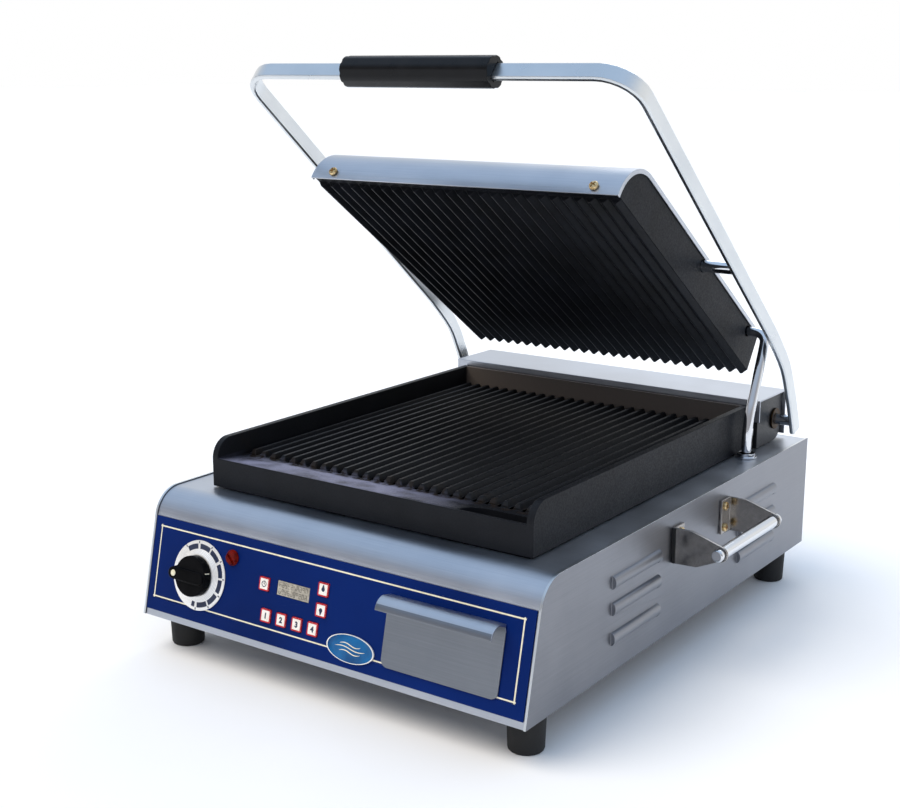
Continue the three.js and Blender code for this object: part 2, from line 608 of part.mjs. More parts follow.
function buildLiftFrame() {
  const armX = (ARM_OUTSIDE + ARM_INSIDE) / 2;
  const foot = new THREE.SplineCurve(ARM_FOOT.map(([y, z]) => new THREE.Vector2(y, z)));
  const arm = foot.getPoints(16).map(({ x: y, y: z }) => new THREE.Vector3(armX, y, z));
  const elbow = arm[arm.length - 1];
  const head = new THREE.Vector3(armX, CROSSBAR_Y, CROSSBAR_Z);
  const upwards = head.clone().sub(elbow).normalize();
  const cornerCentre = head.clone().addScaledVector(upwards, -CORNER_RADIUS).setX(armX - CORNER_RADIUS);
  const half = [...arm];
  for (let k = 0; k <= 7; k += 1) {
    const angle = (Math.PI / 2) * (k / 7);
    const point = cornerCentre.clone().addScaledVector(upwards, CORNER_RADIUS * Math.sin(angle));
    half.push(point.setX(cornerCentre.x + CORNER_RADIUS * Math.cos(angle)));
  }
  const opposite = half.slice().reverse().map((point) => point.clone().setX(-point.x));
  const bar = outline([[-BAR_THICK / 2, -BAR_WIDE / 2 + 1.5], [-BAR_THICK / 2 + 1.5, -BAR_WIDE / 2],
    [BAR_THICK / 2 - 1.5, -BAR_WIDE / 2], [BAR_THICK / 2, -BAR_WIDE / 2 + 1.5],
    [BAR_THICK / 2, BAR_WIDE / 2 - 1.5], [BAR_THICK / 2 - 1.5, BAR_WIDE / 2],
    [-BAR_THICK / 2 + 1.5, BAR_WIDE / 2], [-BAR_THICK / 2, BAR_WIDE / 2 - 1.5]]);
  add("lift_frame", sweep(bar, [...half, ...opposite]), "polished");

  // grip: a fluted sleeve round the crossbar with a slot of the bar's own section through it
  const lean = Math.atan2(upwards.z, upwards.y);
  const grip = new THREE.Shape();
  const flutes = 8;
  for (let i = 0; i <= flutes * 4; i += 1) {
    const angle = (2 * Math.PI * i) / (flutes * 4);
    const radius = i % 4 === 0 ? 13.4 : 14.4;
    const [a, b] = [radius * Math.cos(angle), radius * Math.sin(angle)];
    if (i === 0) grip.moveTo(a, b);
    else grip.lineTo(a, b);
  }
  const slotHalf = [BAR_THICK / 2 + GAP, BAR_WIDE / 2 + GAP];
  const sleeve = alongX(grip, -82, 82);
  const slot = box(-85, 85, -slotHalf[0], slotHalf[0], -slotHalf[1], slotHalf[1]);
  const hollowSleeve = cut(sleeve, slot).rotateX(lean).translate(0, CROSSBAR_Y, CROSSBAR_Z);
  add("handle_grip", hollowSleeve, "blackPlastic");
}

// ---- upper plate -------------------------------------------------------------------------
// Block under the cover in (y, z) of the plate, moved inwards by `inset`; it ends at `rear`.
function plateBlock(inset, low, rear) {
  const shape = new THREE.Shape();
  const centreY = -(PLATE_LENGTH - COVER_CURVE);
  const centreZ = COVER_TOP - COVER_CURVE;
  const radius = COVER_CURVE - inset;
  if (low < centreZ) {
    shape.moveTo(centreY - radius, low);
    shape.lineTo(centreY - radius, centreZ);
  }
  const startAngle = Math.PI - Math.asin(Math.max(low - centreZ, 0) / radius);
  shape.absarc(centreY, centreZ, radius, startAngle, Math.PI / 2, true);
  shape.lineTo(rear, COVER_TOP - inset);
  shape.lineTo(rear, low);
  return shape;
}

const pivotY = -PIVOT_ALONG;
const conduitY = -29;
const conduitAbove = 38;

function buildUpperGriddle() {
  const slab = 14;
  const wall = 7;
  const inset = COVER_SHEET + GAP;
  const ribRoot = 5;
  const body = alongX(plateBlock(inset, ribRoot, 0), -PLATE_HALF, PLATE_HALF, 10);
  const cavity = alongX(plateBlock(inset + 8, slab, -6), -PLATE_HALF + wall, PLATE_HALF - wall, 10);
  const openTop = box(-PLATE_HALF + wall, PLATE_HALF - wall, -300, -6, slab, 80);
  const bosses = [-1, 1].map((side) =>
    rod(12, [side * (PLATE_HALF - wall + 1), pivotY, PIVOT_ABOVE], [side * 156, pivotY, PIVOT_ABOVE], 24));
  const bossWebs = [-1, 1].map((side) =>
    box(Math.min(side * 156, side * 169), Math.max(side * 156, side * 169), pivotY - 12, pivotY + 12,
      slab - 1, PIVOT_ABOVE));
  const pivotHoles = [-1, 1].map((side) =>
    rod(6.4, [side * 160, pivotY, PIVOT_ABOVE], [side * 180, pivotY, PIVOT_ABOVE], 24));
  const conduitHole = rod(CONDUIT_RADIUS + 0.5, [160, conduitY, conduitAbove],
    [180, conduitY, conduitAbove], 16);

  let casting = solid(body).subtract(solid(cavity)).subtract(solid(openTop));
  for (const piece of [...bosses, ...bossWebs]) casting = casting.add(solid(piece));
  casting = casting.intersect(solid(alongX(plateBlock(inset, -5, 0), -PLATE_HALF, PLATE_HALF, 10)));
  for (const x of ribCentres) {
    const rib = outline([[-5.4, ribRoot + 1], [-5.4, ribRoot], [-1.3, 0.4], [0, 0], [1.3, 0.4],
      [5.4, ribRoot], [5.4, ribRoot + 1]].reverse());
    casting = casting.add(solid(alongY(rib, -356, 0).translate(x, 0, 0)));
  }
  for (const hole of [...pivotHoles, conduitHole, ...coverScrewHoles(2.3)]) {
    casting = casting.subtract(solid(hole));
  }
  add("upper_griddle", geometryOf(casting), "castIron", plate);
}

// The two cover screws stand on the round front, on a radius of the bend.
const SCREW_X = 150;
const SCREW_ANGLE = THREE.MathUtils.degToRad(173);
const screwDirection = new THREE.Vector3(0, Math.cos(SCREW_ANGLE), Math.sin(SCREW_ANGLE));
const bendCentre = [-(PLATE_LENGTH - COVER_CURVE), COVER_TOP - COVER_CURVE];

function coverScrewHoles(radius) {
  return [-SCREW_X, SCREW_X].map((x) => {
    const at = (distance) => [x, bendCentre[0] + distance * screwDirection.y,
      bendCentre[1] + distance * screwDirection.z];
    return rod(radius, at(COVER_CURVE - 8.6), at(COVER_CURVE + 5), 12);
  });
}

function buildCover() {
  const lipInside = PLATE_HALF + GAP;
  const lipOutside = lipInside + 1.2;
  const outer = alongX(plateBlock(0, 3, 1.8), -lipOutside, lipOutside, 12);
  const hollow = alongX(plateBlock(COVER_SHEET, -10, 0.3), -lipInside, lipInside, 12);
  const trim = alongX(plateBlock(4.5, -10, 20), -lipOutside - 5, lipOutside + 5, 12);
  const belowRear = box(-200, 200, 0, 20, -10, COVER_TOP - 12);
  add("upper_cover", cut(outer, hollow, trim, belowRear, ...coverScrewHoles(2.5)), "stainless", plate);

  const screw = [[0, -8], [2, -8], [2, GAP], [4.6, GAP], [4.6, 1.8], [3, 3.4], [0, 3.4]];
  for (const [name, x] of [["left", -SCREW_X], ["right", SCREW_X]]) {
    const head = turned(screw, screwDirection, 16).translate(x,
      bendCentre[0] + COVER_CURVE * screwDirection.y, bendCentre[1] + COVER_CURVE * screwDirection.z);
    add(`cover_screw_${name}`, head, "polished", plate);
  }
}

function buildPivotStuds() {
  const tilt = THREE.MathUtils.degToRad(PLATE_TILT);
  const y = PLATE_REAR_Y - PIVOT_ALONG * Math.cos(tilt) + PIVOT_ABOVE * Math.sin(tilt);
  const z = PLATE_REAR_Z + PIVOT_ALONG * Math.sin(tilt) + PIVOT_ABOVE * Math.cos(tilt);
  for (const [name, side] of [["left", -1], ["right", 1]]) {
    const stud = rod(6, [side * 161, y, z], [side * (ARM_INSIDE - GAP), y, z], 24);
    add(`pivot_stud_${name}`, stud, "polished");
  }
}

// Conduit for the upper heater's leads: out of the plate's side, down along the arm side and
// through the deck, on an arc that slides through its collar as the lid comes down.
function buildConduit() {
  const tilt = THREE.MathUtils.degToRad(PLATE_TILT);
  const entryY = PLATE_REAR_Y + conduitY * Math.cos(tilt) + conduitAbove * Math.sin(tilt);
  const entryZ = PLATE_REAR_Z - conduitY * Math.sin(tilt) + conduitAbove * Math.cos(tilt);
  const onArc = (degrees) => {
    const angle = THREE.MathUtils.degToRad(degrees);
    return new THREE.Vector3(CONDUIT_X, CONDUIT_POLE_Y + CONDUIT_ARC * Math.cos(angle),
      CONDUIT_POLE_Z + CONDUIT_ARC * Math.sin(angle));
  };
  const stations = [new THREE.Vector3(169, entryY, entryZ), new THREE.Vector3(185, entryY, entryZ)];
  const shoulder = new THREE.Vector3(185, entryY - 4.5, entryZ - 11);
  for (let k = 1; k <= 4; k += 1) {
    const angle = (Math.PI / 2) * (k / 4);
    const drop = 1 - Math.cos(angle);
    stations.push(new THREE.Vector3(185 + 12 * Math.sin(angle), entryY + (shoulder.y - entryY) * drop,
      entryZ + (shoulder.z - entryZ) * drop));
  }
  stations.push(onArc(152).add(new THREE.Vector3(0, 5, 13)), onArc(153));
  for (let degrees = 157; degrees <= 193; degrees += 4) stations.push(onArc(degrees));
  add("wiring_conduit", sweep(ring(CONDUIT_RADIUS, 10), stations), "polished");

  const collar = [[7.6, 0], [11.4, 0], [11.4, 1.6], [9.6, 2], [9.6, 5], [7.6, 5], [7.6, 0]];
  add("conduit_collar", turned(collar).translate(CONDUIT_X, 468.8, DECK_Z + GAP), "polished");
}

// ---- side handles ------------------------------------------------------------------------
function buildSideHandles() {
  const root = CASE_HALF + GAP;
  const thick = 2.5;
  const [low, high] = [106, 141];
  const web = new THREE.Shape();
  web.moveTo(root, low);
  web.lineTo(247, low + 1);
  web.absarc(HANDLE_BAR_X, HANDLE_BAR_Z, 7.6, -1.75, 1.1, false);
  web.lineTo(241, high);
  web.lineTo(root, high);
  const barHole = new THREE.Path();
  barHole.absarc(HANDLE_BAR_X, HANDLE_BAR_Z, HANDLE_BAR_RADIUS + GAP, 0, 2 * Math.PI);
  web.holes.push(barHole);
  for (const [end, y, toward] of [["front", HANDLE_FRONT_Y, 1], ["rear", HANDLE_REAR_Y, -1]]) {
    const webPlate = alongY(web, y - thick / 2, y + thick / 2, 8);
    const [near, far] = [y - (toward * thick) / 2, y + toward * 19];
    const flange = box(root, root + thick, Math.min(near, far), Math.max(near, far), low, high);
    const boltY = y + toward * 12;
    const holes = [112, 134].map((z) => rod(2.4, [root - 5, boltY, z], [root + 9, boltY, z], 10));
    const bracket = solid(cut(join(webPlate, flange), ...holes));
    add(`handle_bracket_${end}_right`, geometryOf(bracket), "polished");
    add(`handle_bracket_${end}_left`, geometryOf(bracket.mirror([1, 0, 0])), "polished");
  }
  const length = 137;
  const profile = [[0, 0], [4.8, 0], [HANDLE_BAR_RADIUS, 1.2], [HANDLE_BAR_RADIUS, length - 1.2],
    [4.8, length], [0, length]];
  for (const [name, side] of [["left", -1], ["right", 1]]) {
    const bar = turned(profile, AXIS_Y).translate(side * HANDLE_BAR_X, HANDLE_FRONT_Y - 8, HANDLE_BAR_Z);
    add(`handle_bar_${name}`, bar, "polished");
  }
}

buildCasing();
buildSidePanels();
buildFeet();
buildControlPanel();
buildThermostat();
buildDrawer();
buildLowerGriddle();
buildElements();
buildHinge();
buildGland();
buildLiftFrame();
buildUpperGriddle();
buildCover();
buildPivotStuds();
buildConduit();
buildSideHandles();

press.position.y = -FOOTPRINT_MIDDLE;
press.updateMatrixWorld(true);

export default press;
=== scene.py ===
"""Looks of a countertop panini press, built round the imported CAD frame."""
import json
import math
import random

import bmesh
import bpy
from mathutils import Matrix, Vector


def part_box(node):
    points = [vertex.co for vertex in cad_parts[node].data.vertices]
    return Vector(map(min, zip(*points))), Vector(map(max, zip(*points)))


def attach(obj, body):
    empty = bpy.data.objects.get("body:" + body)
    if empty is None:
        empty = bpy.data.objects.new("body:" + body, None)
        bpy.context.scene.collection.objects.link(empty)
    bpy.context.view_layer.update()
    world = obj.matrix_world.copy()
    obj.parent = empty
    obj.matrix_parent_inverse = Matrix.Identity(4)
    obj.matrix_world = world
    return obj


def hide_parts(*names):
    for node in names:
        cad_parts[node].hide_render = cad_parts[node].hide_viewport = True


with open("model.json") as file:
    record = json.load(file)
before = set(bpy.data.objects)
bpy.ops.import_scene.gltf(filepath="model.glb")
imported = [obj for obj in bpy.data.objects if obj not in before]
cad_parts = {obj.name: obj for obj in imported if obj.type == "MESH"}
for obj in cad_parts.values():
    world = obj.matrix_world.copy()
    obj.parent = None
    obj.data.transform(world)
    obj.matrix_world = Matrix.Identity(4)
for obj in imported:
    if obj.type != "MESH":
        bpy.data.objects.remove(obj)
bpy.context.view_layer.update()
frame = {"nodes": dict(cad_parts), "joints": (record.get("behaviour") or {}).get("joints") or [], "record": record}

MM = 0.001
X, Y = 0, 1  # axes
NODES = frame["nodes"]
JOINTS = {joint["name"]: joint for joint in frame["joints"]}
RECORD = frame["record"]
BODY_OF = {name: body for body, names in RECORD["behaviour"]["bodies"].items() for name in names}
SLOT_OF = {part["node"]: part["material_slot"] for part in RECORD["subparts"]}
SIDES = {"left": -1, "right": 1}
ENDS = {"front": 1, "rear": -1}  # the way along Y from each end of a handle to its middle

# The control panel lies on the casing's sloped front. Its own axes are x, up the slope and out of it.
KNOB_AXIS = JOINTS["thermostat_turn"]
OUT = Vector(KNOB_AXIS["axis"])
UP = Vector((0, OUT.z, -OUT.y))
DIAL = Vector(KNOB_AXIS["pos_m"])
DIAL_UP = 51.4 * MM  # height of the dial's centre up the slope
SLOPE_FOOT = DIAL - Vector((DIAL.x, 0, 0)) - UP * DIAL_UP
ON_SLOPE = Matrix.Translation(SLOPE_FOOT) @ Matrix((
    (1, UP.x, OUT.x, 0), (0, UP.y, OUT.y, 0), (0, UP.z, OUT.z, 0), (0, 0, 0, 1)))
FILM_FACE = 1.3 * MM  # heights above the slope
PANE_FACE = 1.1 * MM
KEY_FACE = 2.4 * MM
INK = 0.12 * MM  # thickness of a printed mark
PATCH_EDGE = (0.3, 0.7)  # noise values that stand for the two ends of a tone or a gloss


# ---- materials ---------------------------------------------------------------------------
def colour(code):
    """sRGB hex to the linear colour that a shader takes."""
    parts = [int(code[i:i + 2], 16) / 255 for i in (1, 3, 5)]
    return [p / 12.92 if p <= 0.04045 else ((p + 0.055) / 1.055) ** 2.4 for p in parts] + [1]


def plug(tree, target, inputs):
    """Sets a node's inputs: each is a value, or the output that it is linked from."""
    for socket, value in inputs.items():
        if isinstance(value, bpy.types.NodeSocket):
            tree.links.new(value, target.inputs[socket])
        else:
            target.inputs[socket].default_value = value


def node(tree, kind, inputs, **settings):
    """Adds one shader node with its settings, values and links."""
    made = tree.nodes.new(kind)
    for name, value in settings.items():
        setattr(made, name, value)
    plug(tree, made, inputs)
    return made


def new_finish(name, code, roughness, metallic=0.0, **constants):
    """A Principled material with its plain values set; returns it with its tree, shader and place."""
    finish = bpy.data.materials.new(name)
    finish.use_nodes = True
    tree = finish.node_tree
    shader = tree.nodes["Principled BSDF"]
    plug(tree, shader, {"Base Color": colour(code), "Roughness": roughness, "Metallic": metallic})
    plug(tree, shader, {socket.replace("_", " "): value for socket, value in constants.items()})
    place = node(tree, "ShaderNodeTexCoord", {}).outputs["Object"]
    return finish, tree, shader, place


def mottled(name, tones, roughness, patches, grain=None, gloss="patches", **constants):
    """A material whose tone and gloss drift in cloudy patches, with a fine relief.
    tones: the two colours it drifts between, or one colour all over
    roughness: the two values it drifts between, or one value all over
    patches: their size in mm, and octaves of detail
    grain: size in mm, octaves, depth in mm and strength of the relief
    gloss: whether the roughness follows the patches or the grain"""
    even_tone = isinstance(tones, str)
    even_gloss = isinstance(roughness, float)
    finish, tree, shader, place = new_finish(
        name, tones if even_tone else tones[1], roughness if even_gloss else sum(roughness) / 2, **constants)
    factors = {}
    for pattern, size in (("patches", patches), ("grain", grain)):
        if size is None:
            continue
        noise = node(tree, "ShaderNodeTexNoise", {
            "Vector": place, "Scale": 1 / (size[0] * MM), "Detail": size[1]})
        spread = node(tree, "ShaderNodeMapRange", {
            "Value": noise.outputs["Fac"], "From Min": PATCH_EDGE[0], "From Max": PATCH_EDGE[1]})
        factors[pattern] = (noise.outputs["Fac"], spread.outputs[0])
    if not even_tone:
        tone = node(tree, "ShaderNodeMix", {
            0: factors["patches"][1], 6: colour(tones[0]), 7: colour(tones[1])}, data_type="RGBA")
        plug(tree, shader, {"Base Color": tone.outputs[2]})
    if not even_gloss:
        dullness = node(tree, "ShaderNodeMix", {0: factors[gloss][1], 2: roughness[0], 3: roughness[1]})
        plug(tree, shader, {"Roughness": dullness.outputs[0]})
    if grain:
        relief = node(tree, "ShaderNodeBump", {
            "Height": factors["grain"][0], "Distance": grain[2] * MM, "Strength": grain[3]})
        plug(tree, shader, {"Normal": relief.outputs[0]})
    return finish


def brushed_stainless(name, along, tone_low="#B3B8C0", tone_high="#CDD0D6"):
    """Belt-brushed 304 stainless sheet: fine parallel grain, soft wide highlights, faint handling marks.
    The grain is drawn 1.1 mm wide, coarser than real, so that it shows."""
    finish, tree, shader, place = new_finish(name, "#B3B9C2", 0.3, 1.0)
    stretch = [1 / (1.1 * MM)] * 3
    stretch[along] = 1 / (90 * MM)
    run = node(tree, "ShaderNodeMapping", {"Vector": place, "Scale": stretch})
    grain = node(tree, "ShaderNodeTexNoise", {
        "Vector": run.outputs[0], "Scale": 1.0, "Detail": 5.0, "Roughness": 0.7})
    marks = node(tree, "ShaderNodeTexNoise", {"Vector": place, "Scale": 1 / (60 * MM), "Detail": 3.0})
    both = node(tree, "ShaderNodeMath", {0: grain.outputs["Fac"], 1: marks.outputs["Fac"]}, operation="ADD")
    half = node(tree, "ShaderNodeMath", {0: both.outputs[0], 1: 0.5}, operation="MULTIPLY")
    spread = node(tree, "ShaderNodeMapRange", {
        "Value": half.outputs[0], "From Min": PATCH_EDGE[0], "From Max": PATCH_EDGE[1]})
    tone = node(tree, "ShaderNodeMix", {0: spread.outputs[0], 6: colour(tone_low), 7: colour(tone_high)},
                data_type="RGBA")
    dullness = node(tree, "ShaderNodeMix", {0: spread.outputs[0], 2: 0.3, 3: 0.46})
    scratches = node(tree, "ShaderNodeBump", {
        "Height": grain.outputs["Fac"], "Distance": 0.03 * MM, "Strength": 0.5})
    plug(tree, shader, {
        "Base Color": tone.outputs[2], "Roughness": dullness.outputs[0], "Normal": scratches.outputs[0]})
    return finish


def griddle_iron():
    """Seasoned cast iron, almost black: a pale film on the front ledge, partly dried grease and partly a painted
    reflection of the sky, faded out in the left wall's painted shadow; black-brown crust at the rib ends,
    and the back wall stained grey-brown by heat."""
    finish, tree, shader, place = new_finish("seasoned_griddle", "#141518", 0.5, 0.0, IOR=1.26)
    low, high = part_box("lower_griddle")
    noises = {}
    for name, (size_mm, octaves) in {
            "bloom": (38, 5.0), "skin": (1.6, 4.0), "smears": (30, 6.0), "crumbs": (9, 6.0)}.items():
        noises[name] = node(tree, "ShaderNodeTexNoise", {
            "Vector": place, "Scale": 1 / (size_mm * MM), "Detail": octaves}).outputs["Fac"]
    axes = node(tree, "ShaderNodeSeparateXYZ", {0: place}).outputs
    from_middle = node(tree, "ShaderNodeMath", {0: axes["X"], 1: 0.0}, operation="ABSOLUTE").outputs[0]

    # Each soft edge: what it is measured on, and the values where it starts and is full.
    edges = {
        # patches of the pale film: dried grease with a painted reflection of the sky in it
        "grease_and_sky_sheen": (noises["smears"], 0.3, 0.55),
        "crumbly": (noises["crumbs"], 0.46, 0.56),
        "behind_lip": (axes["Y"], low.y + 0.6 * MM, low.y + 1.4 * MM),
        "before_ribs": (axes["Y"], low.y + 42 * MM, low.y + 32 * MM),
        # fades the pale film out in the painted shadow that the left wall casts on the ledge
        "left_of_drain": (axes["X"], 110 * MM, 10 * MM),
        "clear_of_left_wall_shadow": (axes["X"], -182 * MM, -150 * MM),
        "below_walls": (axes["Z"], high.z - 17.4 * MM, high.z - 18.8 * MM),
        "near_rib_ends": (axes["Y"], low.y + 58 * MM, low.y + 40 * MM),
        "behind_ledge": (axes["Y"], low.y + 30 * MM, low.y + 36 * MM),
        "between_walls": (from_middle, 178.2 * MM, 177.6 * MM),
        "back_wall": (axes["Y"], low.y + 424 * MM, low.y + 426 * MM),
    }
    layers = {  # dried grease with a painted reflection of the sky in it, burnt crust and heat stain: each shows where all its edges are full
        "#797C94": ("grease_and_sky_sheen", "behind_lip", "before_ribs", "left_of_drain", "clear_of_left_wall_shadow", "below_walls"),
        "#1F1A17": ("crumbly", "near_rib_ends", "behind_ledge", "between_walls"),
        "#5E5752": ("back_wall", "between_walls"),
    }
    tone = node(tree, "ShaderNodeMix", {0: noises["bloom"], 6: colour("#0C0D10"), 7: colour("#1B1D22")},
                data_type="RGBA").outputs[2]
    for code, names in layers.items():
        share = 1.0
        for name in names:
            value, start, full = edges[name]
            edge = node(tree, "ShaderNodeMapRange", {"Value": value, "From Min": start, "From Max": full})
            share = node(tree, "ShaderNodeMath", {0: share, 1: edge.outputs[0]},
                         operation="MULTIPLY").outputs[0]
        tone = node(tree, "ShaderNodeMix", {0: share, 6: tone, 7: colour(code)}, data_type="RGBA").outputs[2]
    spread = node(tree, "ShaderNodeMapRange", {
        "Value": noises["skin"], "From Min": PATCH_EDGE[0], "From Max": PATCH_EDGE[1]})
    dullness = node(tree, "ShaderNodeMix", {0: spread.outputs[0], 2: 0.36, 3: 0.6})
    sand_skin = node(tree, "ShaderNodeBump", {
        "Height": noises["skin"], "Distance": 0.15 * MM, "Strength": 0.6})
    plug(tree, shader, {
        "Base Color": tone, "Roughness": dullness.outputs[0], "Normal": sand_skin.outputs[0]})
    return finish


def spun_aluminium():
    """Spun aluminium dial plate, pale and satin: concentric turning lines round the knob."""
    finish, tree, shader, place = new_finish("spun_aluminium", "#F2F1EE", 0.24, 0.35)
    centred = node(tree, "ShaderNodeMapping", {"Vector": place, "Location": -DIAL})
    rings = node(tree, "ShaderNodeTexWave", {
        "Vector": centred.outputs[0], "Scale": 1 / (3 * MM), "Distortion": 1.0},
        wave_type="RINGS", rings_direction="SPHERICAL").outputs["Fac"]
    spread = node(tree, "ShaderNodeMapRange", {
        "Value": rings, "From Min": PATCH_EDGE[0], "From Max": PATCH_EDGE[1]})
    dullness = node(tree, "ShaderNodeMix", {0: spread.outputs[0], 2: 0.2, 3: 0.34})
    lines = node(tree, "ShaderNodeBump", {"Height": rings, "Distance": 0.01 * MM, "Strength": 0.3})
    plug(tree, shader, {"Roughness": dullness.outputs[0], "Normal": lines.outputs[0]})
    return finish


def circuit_board():
    """Green solder mask over copper: lighter tracks on a 5 mm grid."""
    finish, tree, shader, place = new_finish("solder_mask_green", "#17512E", 0.35)
    grid = node(tree, "ShaderNodeTexBrick", {
        "Vector": place, "Scale": 1 / (5 * MM), "Color1": colour("#17512E"), "Color2": colour("#1B6237"),
        "Mortar": colour("#3C8B4F"), "Mortar Size": 0.06})
    plug(tree, shader, {"Base Color": grid.outputs["Color"]})
    return finish


FINE_PLATE = (0.7, 3.0, 0.01, 0.4)  # relief of plated and bare small parts: spangled, duller in patches
PLATED = {"patches": (5, 4.0), "grain": FINE_PLATE, "metallic": 1.0}
PRINTED = {"patches": (4, 3.0), "roughness": (0.4, 0.52)}  # screen-printed ink, slightly uneven where thin

FINISH = {
    "stainless_wide": brushed_stainless("brushed_stainless_across", X),
    # A darker copy of the same stainless for the drawer face: painted shade.
    "stainless_front": brushed_stainless("brushed_stainless_drawer_shaded", X, "#7C8086", "#92969C"),
    # A darker copy of the same stainless for the side and floor sheets: painted shade.
    "stainless_deep": brushed_stainless("brushed_stainless_along_shaded", Y, "#7B7D83", "#919399"),
    "griddle": griddle_iron(),
    "dial": spun_aluminium(),
    "board": circuit_board(),
    # Satin-buffed stainless flat bar: pale, with soft gradients and finger smears.
    "bar": mottled("satin_bar", ("#CDD1D3", "#DADDDE"), (0.26, 0.34), (60, 3.0), (1.2, 2.0, 0.004, 0.4),
                   metallic=1.0),
    # Chrome plate on steel: clear dark-and-light reflections with a few dull water spots.
    "chrome": mottled("chrome_plate", "#DADCDF", (0.04, 0.14), (6, 3.0), metallic=1.0),
    # Nickel plate gone dull: grey, with soft reflections.
    "nickel": mottled("dull_nickel", ("#96928E", "#A8A4A0"), (0.18, 0.26), **PLATED),
    # Zinc plate on steel: pale grey and spangled.
    "zinc": mottled("zinc_plate", ("#8D9196", "#B4B8BC"), (0.32, 0.5), **PLATED),
    # Turned brass, a little tarnished.
    "brass": mottled("brass_screw", ("#B08A4E", "#F0D6A4"), (0.2, 0.36), **PLATED),
    # Sintered bronze, dark with its oil.
    "bronze": mottled("sintered_bronze", ("#2A221B", "#57432C"), (0.4, 0.6), **PLATED),
    # Steel heater sheath, blued and browned by heat.
    "heater": mottled("heat_blued_sheath", ("#3B3029", "#6B5A4C"), (0.45, 0.65), **PLATED),
    # Oil-blacked spring wire: near black, with a low gleam.
    "spring": mottled("oil_blacked_spring", ("#17181B", "#33353A"), (0.35, 0.5), **PLATED),
    # Seasoned cast iron: almost black with a cool bloom, a sand-cast skin and a thin oily sheen.
    "iron": mottled("seasoned_iron", ("#08090C", "#16181E"), (0.42, 0.62), (38, 5.0), (1.6, 4.0, 0.12, 0.6),
                    gloss="grain", IOR=1.26),
    # Black stoved paint on steel: satin, with a slight orange peel.
    "enamel_black": mottled("black_enamel", "#141518", (0.34, 0.5), None, (1.5, 2.0, 0.03, 0.4),
                            gloss="grain"),
    # Polyester overlay printed deep blue on its back: even colour under a lightly textured clear face.
    "film": mottled("printed_film_blue", ("#051D55", "#082567"), (0.34, 0.44), (120, 3.0),
                    (0.9, 2.0, 0.01, 0.4), gloss="grain", IOR=1.14),
    "cream_ink": mottled("cream_ink", ("#E2DBBE", "#F1EBD2"), **PRINTED),
    "red_ink": mottled("red_ink", ("#A80F1C", "#C81222"), **PRINTED),
    "navy_ink": mottled("navy_ink", ("#27314D", "#1A2440"), **PRINTED),
    "lcd_ink": mottled("lcd_segments", ("#57534A", "#3F3C36"), **PRINTED),
    # Gloss phenolic: deep black, with scuffs that catch the light.
    "knob": mottled("gloss_phenolic", ("#060607", "#111113"), (0.15, 0.28), (18, 5.0), (0.8, 3.0, 0.01, 0.5),
                    IOR=1.12),
    # Grained nylon: a spark-eroded mould grain that breaks the highlights.
    "grip": mottled("grained_nylon", ("#060607", "#111113"), (0.25, 0.38), (18, 5.0), (1.0, 3.0, 0.03, 0.5),
                    IOR=1.3),
    # White matt key tops, a little yellowed.
    "key": mottled("white_key_film", ("#E9E4D8", "#F6F4EE"), (0.42, 0.55), (9, 3.0)),
    # Acrylic lamp lens, unlit: deep red, darker where it is thick.
    "lens": mottled("red_acrylic", ("#4A0703", "#701106"), 0.2, (5, 3.0), IOR=1.2),
    # Unlit liquid crystal window: warm grey reflector seen through a gloss pane.
    "display": mottled("lcd_reflector", ("#8E8779", "#BDB6A6"), 0.3, (6, 3.0), Coat_Weight=0.8),
    # Domed vitreous enamel: clear mid blue, drifting darker in broad soft patches: painted shade on the dome.
    "badge": mottled("enamel_blue", ("#0C4478", "#1D669F"), 0.2, (20, 3.0), IOR=1.3),
    # Moulded black rubber: dusty and dull, with a fine grain.
    "rubber": mottled("moulded_rubber", ("#0B0B0C", "#1D1D1E"), (0.65, 0.85), (12, 5.0),
                      (0.8, 3.0, 0.05, 0.5)),
    # Matt paper sweep, all but white.
    "paper": mottled("pale_floor_paper", ("#F1F2F3", "#F7F8F9"), 0.9, (400, 3.0)),
}


# ---- modelling helpers -------------------------------------------------------------------
def take(*pieces):
    """Makes these pieces the only selection, the last one active."""
    bpy.ops.object.select_all(action="DESELECT")
    for piece in pieces:
        piece.select_set(True)
        bpy.context.view_layer.objects.active = piece


def added(name):
    """Names the primitive just added and puts its size and place into its mesh."""
    piece = bpy.context.object
    piece.name = name
    piece.data.name = name
    take(piece)
    bpy.ops.object.transform_apply(location=True, rotation=True, scale=True)
    return piece


def block(name, size, centre=(0, 0, 0)):
    bpy.ops.object.select_all(action="DESELECT")
    bpy.ops.mesh.primitive_cube_add(size=1, location=centre, scale=size)
    return added(name)


def drum(name, radius, low, high, sides=48, centre=(0, 0), low_radius=None):
    """A cylinder or cone along Z between two heights."""
    bpy.ops.object.select_all(action="DESELECT")
    bpy.ops.mesh.primitive_cone_add(vertices=sides, radius1=low_radius or radius, radius2=radius,
                                    depth=high - low, location=(*centre, (low + high) / 2))
    return added(name)


def select(piece, kind, test):
    """Selects, in edit mode, the faces, edges or vertices whose middle passes the test."""
    take(piece)
    bpy.ops.object.mode_set(mode="EDIT")
    bpy.ops.mesh.select_mode(type=kind)
    bpy.ops.mesh.select_all(action="DESELECT")
    mesh = bmesh.from_edit_mesh(piece.data)
    for part in {"FACE": mesh.faces, "EDGE": mesh.edges, "VERT": mesh.verts}[kind]:
        if kind == "FACE":
            chosen = test(part.calc_center_median(), part.normal)
        elif kind == "EDGE":
            chosen = test((part.verts[0].co + part.verts[1].co) / 2, part.verts[1].co - part.verts[0].co)
        else:
            chosen = test(part.co, None)
        part.select_set(bool(chosen))
    mesh.select_flush_mode()
    bmesh.update_edit_mesh(piece.data)


